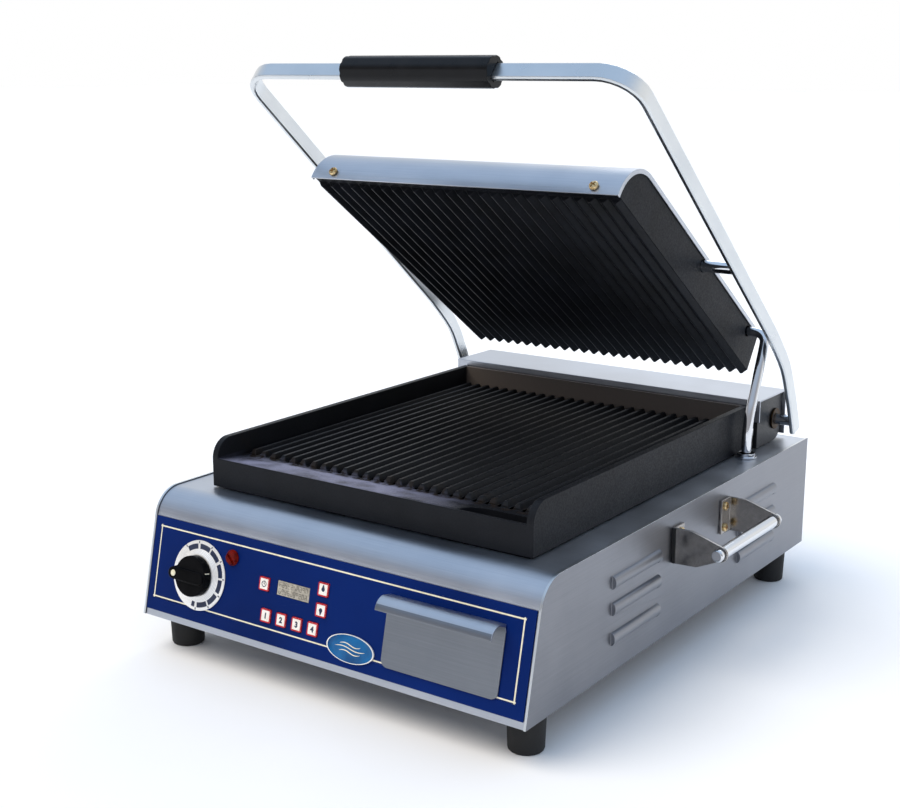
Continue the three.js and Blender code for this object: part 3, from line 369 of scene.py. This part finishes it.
def leave():
    bpy.ops.object.mode_set(mode="OBJECT")


def modified(piece, kind, **settings):
    """Adds a modifier and applies it."""
    take(piece)
    modifier = piece.modifiers.new(kind.title(), kind)
    for name, value in settings.items():
        setattr(modifier, name, value)
    bpy.ops.object.modifier_apply(modifier=modifier.name)


def smooth(piece, angle=35):
    take(piece)
    bpy.ops.object.shade_smooth_by_angle(angle=math.radians(angle))


def rounded(piece, width, segments=2, angle=32):
    """Breaks the sharp edges and keeps the flats flat."""
    modified(piece, "BEVEL", width=width, segments=segments, limit_method="ANGLE",
             angle_limit=math.radians(angle), use_clamp_overlap=False, miter_outer="MITER_ARC")
    smooth(piece)
    modified(piece, "WEIGHTED_NORMAL", keep_sharp=True)


def finished(piece, finish, body, slot, *nodes, matrix=None):
    """Places a piece, gives it its finish and its body, and hides the CAD nodes that it stands for."""
    if matrix is not None:
        piece.data.transform(matrix)
    piece.data.materials.clear()
    piece.data.materials.append(FINISH[finish])
    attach(piece, body)
    if nodes:
        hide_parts(*nodes)
    return piece


def cleaned(node_name, name, whole_faces=True):
    """A copy of a CAD node, merged, with its triangles joined back into whole faces."""
    piece = bpy.data.objects.new(name, NODES[node_name].data.copy())
    bpy.context.collection.objects.link(piece)
    take(piece)
    bpy.ops.object.mode_set(mode="EDIT")
    bpy.ops.mesh.select_all(action="SELECT")
    bpy.ops.mesh.remove_doubles(threshold=0.004 * MM)
    if whole_faces:
        bpy.ops.mesh.dissolve_limited(angle_limit=math.radians(0.6))
    leave()
    return piece


def dressed(node_name, name, finish, edge_mm, segments=2):
    """Stands for a CAD node with the same shape, its edges broken as a maker would."""
    louvred = node_name.startswith("side_panel")
    piece = cleaned(node_name, name, not louvred)
    rounded(piece, edge_mm * MM, segments)
    return finished(piece, finish, BODY_OF[node_name], SLOT_OF[node_name], node_name)


def two_tone(piece, finish, test):
    """Gives the faces whose middle and normal pass the test a second finish."""
    piece.data.materials.append(FINISH[finish])
    for face in piece.data.polygons:
        if test(face.center, face.normal):
            face.material_index = 1


# ---- castings, sheets and bars -----------------------------------------------------------
# CAD node: the dressed piece's name, its finish, and how wide its edges are broken in mm.
SINGLE = {
    "casing_wrap": ("casing_sheet", "stainless_wide", 0.35),
    "rear_panel": ("rear_sheet", "stainless_wide", 0.3),
    "bottom_plate": ("floor_sheet", "stainless_deep", 0.3),
    "housing_cover": ("housing_sheet", "stainless_wide", 0.5),
    "upper_cover": ("lid_sheet", "stainless_wide", 0.35),
    "drip_drawer": ("drawer_sheet", "stainless_front", 0.35),
    "control_panel": ("overlay_film", "film", 0.15),
    "lower_griddle": ("griddle_casting", "griddle", 0.5),
    "upper_griddle": ("lid_casting", "iron", 0.5),
    "cord_gland": ("cord_bush", "grip", 0.6),
    "thermostat_knob": ("pointer_knob", "knob", 0.9),
    "handle_grip": ("fluted_grip", "grip", 0.5),
    "lift_frame": ("bent_bar", "bar", 0.4),
    "hinge_shaft": ("ground_shaft", "chrome", 0.4),
    "conduit_collar": ("deck_collar", "chrome", 0.3),
}
PAIRED = {  # the same for what comes left and right; the feet's edges take three segments
    "side_panel": ("side_sheet", "stainless_deep", 0.4),
    "hinge_bracket": ("hinge_cheek", "enamel_black", 0.6),
    "hinge_bush": ("flanged_bush", "bronze", 0.3),
    "pivot_stud": ("plate_stud", "chrome", 0.5),
    "drawer_rail": ("runner", "zinc", 0.25),
    "handle_bracket_front": ("cheek_front", "nickel", 0.45),
    "handle_bracket_rear": ("cheek_rear", "nickel", 0.45),
    "handle_bar": ("carry_bar", "chrome", 0.6),
    "foot_front": ("rubber_foot_front", "rubber", 1.0, 3),
    "foot_rear": ("rubber_foot_rear", "rubber", 1.0, 3),
}
for node_name, (name, *look) in SINGLE.items():
    dressed(node_name, name, *look)
for node_name, (name, *look) in PAIRED.items():
    for side in SIDES:
        dressed(f"{node_name}_{side}", f"{name}_{side}", *look)


def polish_rims():
    """The side panels' hemmed rims take the pale bar finish, clear of the louvres: a painted highlight along the
    rims.
    """
    for side in SIDES:
        low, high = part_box(f"side_panel_{side}")
        two_tone(bpy.data.objects[f"side_sheet_{side}"], "bar", lambda centre, normal: (
            abs(normal.x) < 0.5 and (centre.z > high.z - 24 * MM or centre.z < low.z + 10 * MM
                                     or centre.y < low.y + 90 * MM or centre.y > high.y - 50 * MM)))


def polish_lip():
    """The drawer's rolled lip keeps the lighter plain stainless, while its face carries painted shade: a painted
    highlight on the lip.
    """
    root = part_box("drip_drawer")[1].z - 13 * MM
    two_tone(bpy.data.objects["drawer_sheet"], "stainless_wide", lambda centre, normal: (
        centre.z > root and normal.dot(OUT) < 0.9 and normal.z > -0.2))


polish_rims()
polish_lip()

HIDDEN = {
    "heat_shield": "zinc", "thermostat_shaft": "zinc", "thermostat_body": "zinc", "timer_board": "board",
    "lower_element": "heater", "upper_element": "heater",
    "balance_spring_left": "spring", "balance_spring_right": "spring",
}
for node_name, finish in HIDDEN.items():
    NODES[node_name].data.materials.clear()
    NODES[node_name].data.materials.append(FINISH[finish])


# ---- wiring conduit ----------------------------------------------------------------------
def build_conduit():
    """The conduit's ten-sided solid, made round by subdivision."""
    piece = cleaned("wiring_conduit", "bent_conduit")
    modified(piece, "SUBSURF", levels=2, render_levels=2)
    smooth(piece, 60)
    finished(piece, "chrome", BODY_OF["wiring_conduit"], SLOT_OF["wiring_conduit"], "wiring_conduit")


build_conduit()


# ---- printing on the control panel -------------------------------------------------------
def strip(name, size, centre, face, finish, body, slot):
    """A printed bar on the panel, with its corners eased."""
    piece = block(name, (*size, INK), (*centre, face + INK / 2))
    select(piece, "EDGE", lambda place, run: abs(run.z) > INK / 2)
    bpy.ops.mesh.bevel(offset=0.3 * MM, segments=2, affect="EDGES")
    leave()
    return finished(piece, finish, body, slot, matrix=ON_SLOPE)


def frame_mark(name, half_size, line, corner, centre, face, finish, body, slot):
    """A printed outline: a rounded plate inset by the line's width and opened in the middle."""
    bpy.ops.object.select_all(action="DESELECT")
    bpy.ops.mesh.primitive_plane_add(size=2)
    piece = added(name)
    piece.data.transform(Matrix.Diagonal((*half_size, 1, 1)))
    select(piece, "VERT", lambda place, _: True)
    bpy.ops.mesh.bevel(offset=corner, segments=5, affect="VERTICES")
    bpy.ops.mesh.select_mode(type="FACE")
    bpy.ops.mesh.select_all(action="SELECT")
    bpy.ops.mesh.inset(thickness=line, depth=0)
    bpy.ops.mesh.delete(type="FACE")
    leave()
    modified(piece, "SOLIDIFY", thickness=INK, offset=1)
    piece.data.transform(Matrix.Translation((*centre, face)))
    return finished(piece, finish, body, slot, matrix=ON_SLOPE)


frame_mark("border_line", half_size=(210.5 * MM, 36.4 * MM), line=2.7 * MM, corner=0.4 * MM,
           centre=(-1.0 * MM, 54.8 * MM), face=FILM_FACE, finish="cream_ink", body="base",
           slot="control_film")


def glyph(name, text, size, centre, face, finish, body, slot):
    """A printed figure, centred."""
    bpy.ops.object.select_all(action="DESELECT")
    bpy.ops.object.text_add()
    writing = bpy.context.object
    writing.data.body = text
    writing.data.size = size
    writing.data.extrude = INK / 2
    writing.data.offset = 0.045 * size  # thickens the strokes
    take(writing)
    bpy.ops.object.convert(target="MESH")
    piece = bpy.context.object
    piece.name = name
    piece.data.name = name
    corners = [Vector(corner) for corner in piece.bound_box]
    middle = sum(corners, Vector()) / len(corners)
    piece.data.transform(Matrix.Translation(Vector((*centre, face + INK / 2)) - middle))
    return finished(piece, finish, body, slot, matrix=ON_SLOPE)


def teardrop(name, centre, turn, body):
    """Setting mark of the up and down keys: a round drop with one pointed end."""
    piece = drum(name, 1.9 * MM, 0, INK, 24)
    select(piece, "VERT", lambda place, _: place.y > 1.1 * MM)
    bpy.ops.transform.translate(value=(0, 2.6 * MM, 0))
    bpy.ops.transform.resize(value=(0.35, 1, 1), center_override=(0, 0, 0))
    leave()
    piece.data.transform(Matrix.Translation((*centre, KEY_FACE)) @ Matrix.Rotation(turn, 4, "Z"))
    return finished(piece, "navy_ink", body, "key_cap", matrix=ON_SLOPE)


def ring_mark(name, outer, inner, sides, centre, face, finish, body, slot, keep=None):
    """A printed ring: a circle extruded inwards, with the faces outside `keep` taken off."""
    bpy.ops.object.select_all(action="DESELECT")
    bpy.ops.mesh.primitive_circle_add(vertices=sides, radius=outer)
    piece = added(name)
    select(piece, "EDGE", lambda place, run: True)
    bpy.ops.mesh.extrude_edges_move()
    bpy.ops.transform.resize(value=(inner / outer, inner / outer, 1), center_override=(0, 0, 0))
    bpy.ops.mesh.select_all(action="SELECT")
    bpy.ops.mesh.normals_make_consistent(inside=False)
    leave()
    if keep:
        select(piece, "FACE", lambda place, normal: not keep(math.degrees(math.atan2(place.y, place.x))))
        bpy.ops.mesh.delete(type="FACE")
        leave()
    modified(piece, "SOLIDIFY", thickness=INK, offset=0)
    take(piece)
    bpy.ops.object.mode_set(mode="EDIT")
    bpy.ops.mesh.select_all(action="SELECT")
    bpy.ops.mesh.normals_make_consistent(inside=False)
    leave()
    piece.data.transform(Matrix.Translation((*centre, face + INK / 2)))
    return finished(piece, finish, body, slot, matrix=ON_SLOPE)


def on_panel(node_name):
    """Centre of a control panel node, in the panel's own axes."""
    low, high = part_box(node_name)
    return ON_SLOPE.inverted() @ ((low + high) / 2)


def build_key(key, figure=None):
    """A key's white cap with its red edge and printed outline, and its figure if it has one."""
    low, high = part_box(key)
    centre = tuple(on_panel(key))[:2]
    half = (high.x - low.x) / 2
    cap = dressed(key, f"{key}_cap", "key", 0.35)
    two_tone(cap, "red_ink", lambda place, normal: normal.dot(OUT) < 0.9)
    frame_mark(f"{key}_outline", (half - 0.1 * MM, half + 0.15 * MM), 1.2 * MM, 1.4 * MM, centre, KEY_FACE,
               "red_ink", key, "key_cap")
    if figure:
        glyph(f"{key}_figure", figure, 7.0 * MM, centre, KEY_FACE, "navy_ink", key, "key_cap")


def build_clock(key):
    """Clock mark of the programme key: a ring with two hands."""
    x, up = tuple(on_panel(key))[:2]
    ring_mark(f"{key}_ring", 2.9 * MM, 2.2 * MM, 32, (x, up), KEY_FACE, "navy_ink", key, "key_cap")
    strip(f"{key}_hand", (0.6 * MM, 2.2 * MM), (x, up + 0.8 * MM), KEY_FACE, "navy_ink", key, "key_cap")
    strip(f"{key}_pointer", (1.7 * MM, 0.6 * MM), (x + 0.55 * MM, up), KEY_FACE, "navy_ink", key, "key_cap")


for key in ("key_program", "key_up", "key_down"):
    build_key(key)
for number in range(1, 5):
    build_key(f"key_preset_{number}", str(number))
teardrop("key_up_mark", tuple(on_panel("key_up"))[:2], 0, "key_up")
teardrop("key_down_mark", tuple(on_panel("key_down"))[:2], math.pi, "key_down")
build_clock("key_program")


# ---- display -----------------------------------------------------------------------------
SEGMENTS = (  # bars of a seven-bar figure: x, y, width and height in a cell 1 wide and 2 high
    (0.1, 1.82, 0.8, 0.18), (0.1, 0.91, 0.8, 0.18), (0.1, 0, 0.8, 0.18),
    (0, 1.05, 0.18, 0.8), (0.82, 1.05, 0.18, 0.8), (0, 0.15, 0.18, 0.8), (0.82, 0.15, 0.18, 0.8),
)


def build_display():
    """Two rows of unlit figures behind the pane, joined into one piece."""
    dressed("display_window", "display_pane", "display", 0.2)
    low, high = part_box("display_window")
    middle = on_panel("display_window")
    cell = 2.35 * MM
    columns = 10
    pitch = (high.x - low.x - 3.4 * MM) / columns
    missing = 0.22  # share of the bars that have faded away
    chance = random.Random(4)
    bars = []
    for row_foot in (middle.y - 5.4 * MM, middle.y + 0.8 * MM):
        for column in range(columns):
            corner = Vector((low.x + 1.9 * MM + column * pitch, row_foot, PANE_FACE))
            for x, y, width, height in SEGMENTS:
                if chance.random() < missing:
                    continue
                centre = corner + Vector(((x + width / 2) * cell, (y + height / 2) * cell, INK / 2))
                bars.append(block("bar", (width * cell, height * cell, INK), centre))
    take(*bars)
    bpy.ops.object.join()
    piece = bpy.context.object
    piece.name = "display_figures"
    finished(piece, "lcd_ink", "base", "display", matrix=ON_SLOPE)


build_display()


# ---- thermostat dial ---------------------------------------------------------------------
DIAL_CENTRE = (DIAL.x, DIAL_UP)
SCALE_FACE = 2.8 * MM  # where the scale is printed
POINTER_REACH = 18.6 * MM  # from the knob's axis to the dot in its pointer


def lathe(name, profile, steps=96):
    """A turned piece: a profile of (radius, height) swept round Z by the spin operator."""
    bpy.ops.object.select_all(action="DESELECT")
    bpy.ops.mesh.primitive_plane_add(size=1)
    piece = added(name)
    select(piece, "VERT", lambda place, _: True)
    bpy.ops.mesh.delete(type="VERT")
    mesh = bmesh.from_edit_mesh(piece.data)
    corners = [mesh.verts.new((radius, 0, height)) for radius, height in profile]
    for here, there in zip(corners, corners[1:] + corners[:1]):
        mesh.edges.new((here, there))
    bmesh.update_edit_mesh(piece.data)
    bpy.ops.mesh.select_all(action="SELECT")
    bpy.ops.mesh.spin(steps=steps, angle=2 * math.pi, center=(0, 0, 0), axis=(0, 0, 1))
    bpy.ops.mesh.select_all(action="SELECT")
    bpy.ops.mesh.remove_doubles(threshold=0.001 * MM)
    bpy.ops.mesh.normals_make_consistent(inside=False)
    leave()
    return piece


def build_dial():
    """Scale plate with a rolled outer edge and a raised collar, printed with a segmented band."""
    profile = [  # radius and height in mm
        (11, 1.65), (33, 1.65), (33.5, 2.0), (33.3, 2.5), (32.6, 2.7), (25.6, 2.8), (25.0, 3.0), (21.0, 5.5),
        (20.4, 5.8), (19.0, 5.8), (18.6, 5.5), (18.6, 3.0), (11, 3.0)]
    piece = lathe("dial_plate", [(radius * MM, height * MM) for radius, height in profile])
    smooth(piece, 50)
    piece.data.transform(Matrix.Translation((*DIAL_CENTRE, 0)))
    finished(piece, "dial", "base", "dial_scale", "dial_ring", matrix=ON_SLOPE)

    ticks = [128 - 31 * step for step in range(8)]  # degrees from the right, anticlockwise

    def in_band(angle):
        return ticks[-1] - 12 < angle < ticks[0] and min(abs(angle - tick) for tick in ticks) > 2.8

    ring_mark("dial_band", 30.4 * MM, 25.4 * MM, 180, DIAL_CENTRE, SCALE_FACE - 0.02 * MM, "navy_ink", "base",
              "dial_scale", in_band)
    for index, tick in enumerate(ticks):
        mark = block(f"dial_tick_{index}", (2.2 * MM, 1.0 * MM, INK), (31.7 * MM, 0, 0))
        turn = Matrix.Translation((*DIAL_CENTRE, SCALE_FACE)) @ Matrix.Rotation(math.radians(tick), 4, "Z")
        finished(mark, "navy_ink", "base", "dial_scale", matrix=ON_SLOPE @ turn)


build_dial()


def build_knob_marks():
    """Ivory dot let into the pointer, and a cream line down the skirt at the bar's other end: a painted highlight.
    """
    top = 18.5 * MM
    dot = drum("pointer_dot", 3.05 * MM, 17.45 * MM, top, 32, (DIAL.x - POINTER_REACH, DIAL_UP))
    select(dot, "EDGE", lambda place, run: place.z > top - 0.1 * MM)
    bpy.ops.mesh.bevel(offset=0.6 * MM, segments=3, affect="EDGES")
    leave()
    smooth(dot, 40)
    finished(dot, "cream_ink", "knob", "black_plastic", matrix=ON_SLOPE)
    # a painted highlight at the bar's end, drawn as a cream line
    line = block("knob_glint_line", (0.4 * MM, 1.0 * MM, 5.2 * MM), (19.45 * MM, 0, 11.4 * MM))
    turn = Matrix.Translation((*DIAL_CENTRE, 0)) @ Matrix.Rotation(math.radians(17), 4, "Z")
    finished(line, "cream_ink", "knob", "black_plastic", matrix=ON_SLOPE @ turn)


build_knob_marks()


# ---- pilot lamp --------------------------------------------------------------------------
def build_lamp():
    """Lamp lens: an eight-sided cap with a groove across it, on a round flange."""
    centre = (on_panel("pilot_lamp").x, 76.3 * MM)
    seat = 3.0 * MM
    crown = 5.6 * MM
    flange = drum("lamp_flange", 7.6 * MM, FILM_FACE + 0.3 * MM, seat, 48, centre)
    rounded(flange, 0.4 * MM)
    finished(flange, "lens", "base", "red_lens", matrix=ON_SLOPE)
    cap = drum("lamp_lens", 6.0 * MM, seat, crown, 8, centre, low_radius=7.2 * MM)
    select(cap, "FACE", lambda place, normal: normal.z > 0.9)
    bpy.ops.mesh.inset(thickness=0.5 * MM, depth=0)
    leave()
    groove = block("groove", (20 * MM, 2.6 * MM, 3.4 * MM))
    groove.data.transform(Matrix.Translation((*centre, crown)) @ Matrix.Rotation(math.radians(-42), 4, "Z"))
    modified(cap, "BOOLEAN", object=groove, operation="DIFFERENCE", solver="EXACT")
    bpy.data.objects.remove(groove)
    rounded(cap, 0.25 * MM, 2, 25)
    finished(cap, "lens", "base", "red_lens", "pilot_lamp", matrix=ON_SLOPE)


build_lamp()


# ---- badge -------------------------------------------------------------------------------
BADGE_FACE = 3.06 * MM


def build_wave(name, reach, lift, stand):
    """A wave line of one whole turn, from -reach to reach, thinned to nothing at both ends."""
    wave = block(name, (2 * reach, 0.9 * MM, INK))
    select(wave, "EDGE", lambda place, run: abs(run.x) > reach)
    bpy.ops.mesh.subdivide(number_cuts=23)
    mesh = bmesh.from_edit_mesh(wave.data)
    for vertex in mesh.verts:
        half_turns = math.pi * (vertex.co.x / reach + 1) / 2
        thinned = vertex.co.y * math.sqrt(max(0, math.sin(half_turns)))
        vertex.co.y = thinned + 1.3 * MM * math.sin(2 * half_turns)
    bmesh.update_edit_mesh(wave.data)
    leave()
    finished(wave, "cream_ink", "base", "badge", matrix=stand @ Matrix.Translation((0, lift, BADGE_FACE)))


def build_badge():
    """Plain oval badge: domed enamel with a bright rim and three wave lines."""
    low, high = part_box("badge_plate")
    half_width = (high.x - low.x) / 2
    half_height = 12.5 * MM
    stand = ON_SLOPE @ Matrix.Translation((on_panel("badge_plate").x, 24.5 * MM, 0))
    plate = drum("badge_oval", 1, 1.6 * MM, 2.9 * MM, 96)
    plate.data.transform(Matrix.Diagonal((half_width - 0.2 * MM, half_height - 0.2 * MM, 1, 1)))
    select(plate, "FACE", lambda place, normal: normal.z > 0.9)
    for shrink, rise in ((0.95, 0), (0.98, -0.3), (0.8, 0.28), (0.6, 0.16), (0.4, 0.04)):
        bpy.ops.mesh.extrude_region_move(TRANSFORM_OT_translate={"value": (0, 0, rise * MM)})
        bpy.ops.transform.resize(value=(shrink, shrink, 1), center_override=(0, 0, 0))
    leave()
    smooth(plate, 50)
    finished(plate, "badge", "base", "badge", "badge_plate", matrix=stand)
    rim = lathe("badge_rim", [(0.955, 2.5 * MM), (0.955, 3.0 * MM), (1, 3.0 * MM), (1, 1.65 * MM),
                              (0.98, 1.65 * MM), (0.98, 2.5 * MM)])
    rim.data.transform(Matrix.Diagonal((half_width, half_height, 1, 1)))
    smooth(rim, 40)
    finished(rim, "dial", "base", "badge", matrix=stand)
    for index, (lift, reach) in enumerate(((3.4, 12), (0.2, 17), (-3.2, 12))):
        build_wave(f"badge_wave_{index}", reach * MM, lift * MM, stand)


build_badge()


# ---- screws ------------------------------------------------------------------------------
def pan_head(radius, height):
    """Pan-head screw with a cross recess: its seat at z = 0, its head up Z."""
    head = drum("head", radius, 0, height, 40)
    select(head, "EDGE", lambda place, run: place.z > height * 0.9)
    bpy.ops.mesh.bevel(offset=height * 0.62, segments=5, affect="EDGES")
    leave()
    long, narrow = 1.5 * radius, 0.3 * radius
    for width, depth in ((long, narrow), (narrow, long)):
        recess = block("recess", (width, depth, height), (0, 0, height))
        modified(head, "BOOLEAN", object=recess, operation="DIFFERENCE", solver="EXACT")
        bpy.data.objects.remove(recess)
    smooth(head, 30)
    return head


def set_screw(pattern, name, seat, outward, spin, body, *nodes):
    """A copy of the pattern screw on its seat, turned by `spin` degrees about its axis."""
    piece = bpy.data.objects.new(name, pattern.data.copy())
    bpy.context.collection.objects.link(piece)
    aim = Vector(outward).to_track_quat("Z", "Y").to_matrix().to_4x4()
    stand = Matrix.Translation(seat) @ aim @ Matrix.Rotation(math.radians(spin), 4, "Z")
    return finished(piece, "brass", body, "bright_bar", *nodes, matrix=stand)


def screw_axis(node_name):
    """The way a CAD screw's head faces: along its largest face, towards the front."""
    screw = cleaned(node_name, "measure")
    normal = max(screw.data.polygons, key=lambda face: face.area).normal.copy()
    bpy.data.objects.remove(screw)
    return normal if normal.y < 0 else -normal


def build_lid_screws():
    pattern = pan_head(4.5 * MM, 2.9 * MM)
    length = 11.4 * MM
    head = 3.1 * MM
    for side, spin in (("left", 25), ("right", 60)):
        node_name = f"cover_screw_{side}"
        low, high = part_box(node_name)
        outward = screw_axis(node_name)
        seat = (low + high) / 2 + outward * (length / 2 - head)
        set_screw(pattern, f"lid_screw_{side}", seat, outward, spin, "upper_plate", node_name)
    bpy.data.objects.remove(pattern)


def build_handle_screws():
    """Two screws through the foot of each handle cheek."""
    pattern = pan_head(4.2 * MM, 2.4 * MM)
    spins = random.Random(7)
    for end, towards in ENDS.items():
        for side, sign in SIDES.items():
            low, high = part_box(f"handle_bracket_{end}_{side}")
            x = sign * (min(abs(low.x), abs(high.x)) + 2.5 * MM)
            y = (low.y if towards > 0 else high.y) + towards * 13.25 * MM
            for index, z in enumerate((low.z + 6 * MM, high.z - 7 * MM)):
                set_screw(pattern, f"handle_screw_{end}_{side}_{index}", (x, y, z), (sign, 0, 0),
                          spins.uniform(0, 90), "base")
    bpy.data.objects.remove(pattern)


def build_cheek_seams():
    """A black strip down the root of each handle cheek: painted shade where the bent plate meets the side panel.
    """
    for end, towards in ENDS.items():
        for side, sign in SIDES.items():
            low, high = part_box(f"handle_bracket_{end}_{side}")
            x = sign * (min(abs(low.x), abs(high.x)) + 1.7 * MM)
            y = (low.y if towards > 0 else high.y) - towards * 0.3 * MM
            # painted shade at the cheek's root, drawn as a thin black strip
            shade_strip = block(f"cheek_root_shade_{end}_{side}", (3.4 * MM, 0.5 * MM, high.z - low.z - 1 * MM),
                         (x, y, (low.z + high.z) / 2))
            rounded(shade_strip, 0.12 * MM)
            finished(shade_strip, "rubber", "base", "black_plastic")


build_lid_screws()
build_handle_screws()
build_cheek_seams()


# ---- stage, light and camera -------------------------------------------------------------
def build_stage():
    """A wide pale floor."""
    bpy.ops.object.select_all(action="DESELECT")
    bpy.ops.mesh.primitive_plane_add(size=60)
    floor = added("studio_floor")
    floor.data.materials.append(FINISH["paper"])


def soft_box(name, place, aim, size, power, tint):
    """A square area light turned towards a point."""
    light = bpy.data.lights.new(name, "AREA")
    light.size = size
    light.energy = power
    light.color = colour(tint)[:3]
    lamp = bpy.data.objects.new(name, light)
    bpy.context.collection.objects.link(lamp)
    lamp.location = place
    lamp.rotation_euler = (Vector(aim) - Vector(place)).to_track_quat("-Z", "Y").to_euler()


def build_sky():
    """Even studio surround: pale behind the object, greyer behind the camera, a soft blue above."""
    world = bpy.data.worlds.new("studio_surround")
    bpy.context.scene.world = world
    world.use_nodes = True
    tree = world.node_tree
    direction = node(tree, "ShaderNodeTexCoord", {}).outputs["Generated"]
    axes = node(tree, "ShaderNodeSeparateXYZ", {0: direction}).outputs
    depth = node(tree, "ShaderNodeMapRange", {"Value": axes["Y"], "From Min": -0.35, "From Max": 0.35})
    climb = node(tree, "ShaderNodeMapRange", {"Value": axes["Z"], "From Min": 0.3, "From Max": 0.75})
    skyline = node(tree, "ShaderNodeMix", {0: depth.outputs[0], 6: colour("#A9A8AC"), 7: colour("#FFFFFF")},
                   data_type="RGBA")
    sky = node(tree, "ShaderNodeMix", {0: climb.outputs[0], 6: skyline.outputs[2], 7: colour("#C4DCFA")},
               data_type="RGBA")
    plug(tree, tree.nodes["Background"], {"Color": sky.outputs[2], "Strength": 1.0})


def sun(direction, strength, spread, tint):
    """Broad, soft, warm light from above; it is left out of reflections, so it makes no glare on metal."""
    light = bpy.data.lights.new("sun", "SUN")
    light.energy = strength
    light.angle = math.radians(spread)
    light.color = colour(tint)[:3]
    lamp = bpy.data.objects.new("sun", light)
    bpy.context.collection.objects.link(lamp)
    lamp.rotation_euler = Vector(direction).to_track_quat("-Z", "Y").to_euler()
    lamp.visible_glossy = False


def build_camera():
    camera = bpy.data.cameras.new("camera")
    camera.lens = 56.98
    camera.sensor_width = 36
    stand = bpy.data.objects.new("camera", camera)
    bpy.context.collection.objects.link(stand)
    stand.location = (0.78238, -1.18902, 0.55798)
    stand.rotation_euler = (math.radians(76.65), 0, math.radians(35.35))
    bpy.context.scene.camera = stand


build_stage()
build_sky()
sun(direction=(0.35, 0.45, -0.82), strength=2.2, spread=45, tint="#FFEFD8")
soft_box("rim", place=(-0.4, 1.9, 2.0), aim=(0, 0, 0.3), size=1.2, power=10, tint="#FFFFFF")
build_camera()
bpy.context.scene.view_settings.view_transform = "Standard"
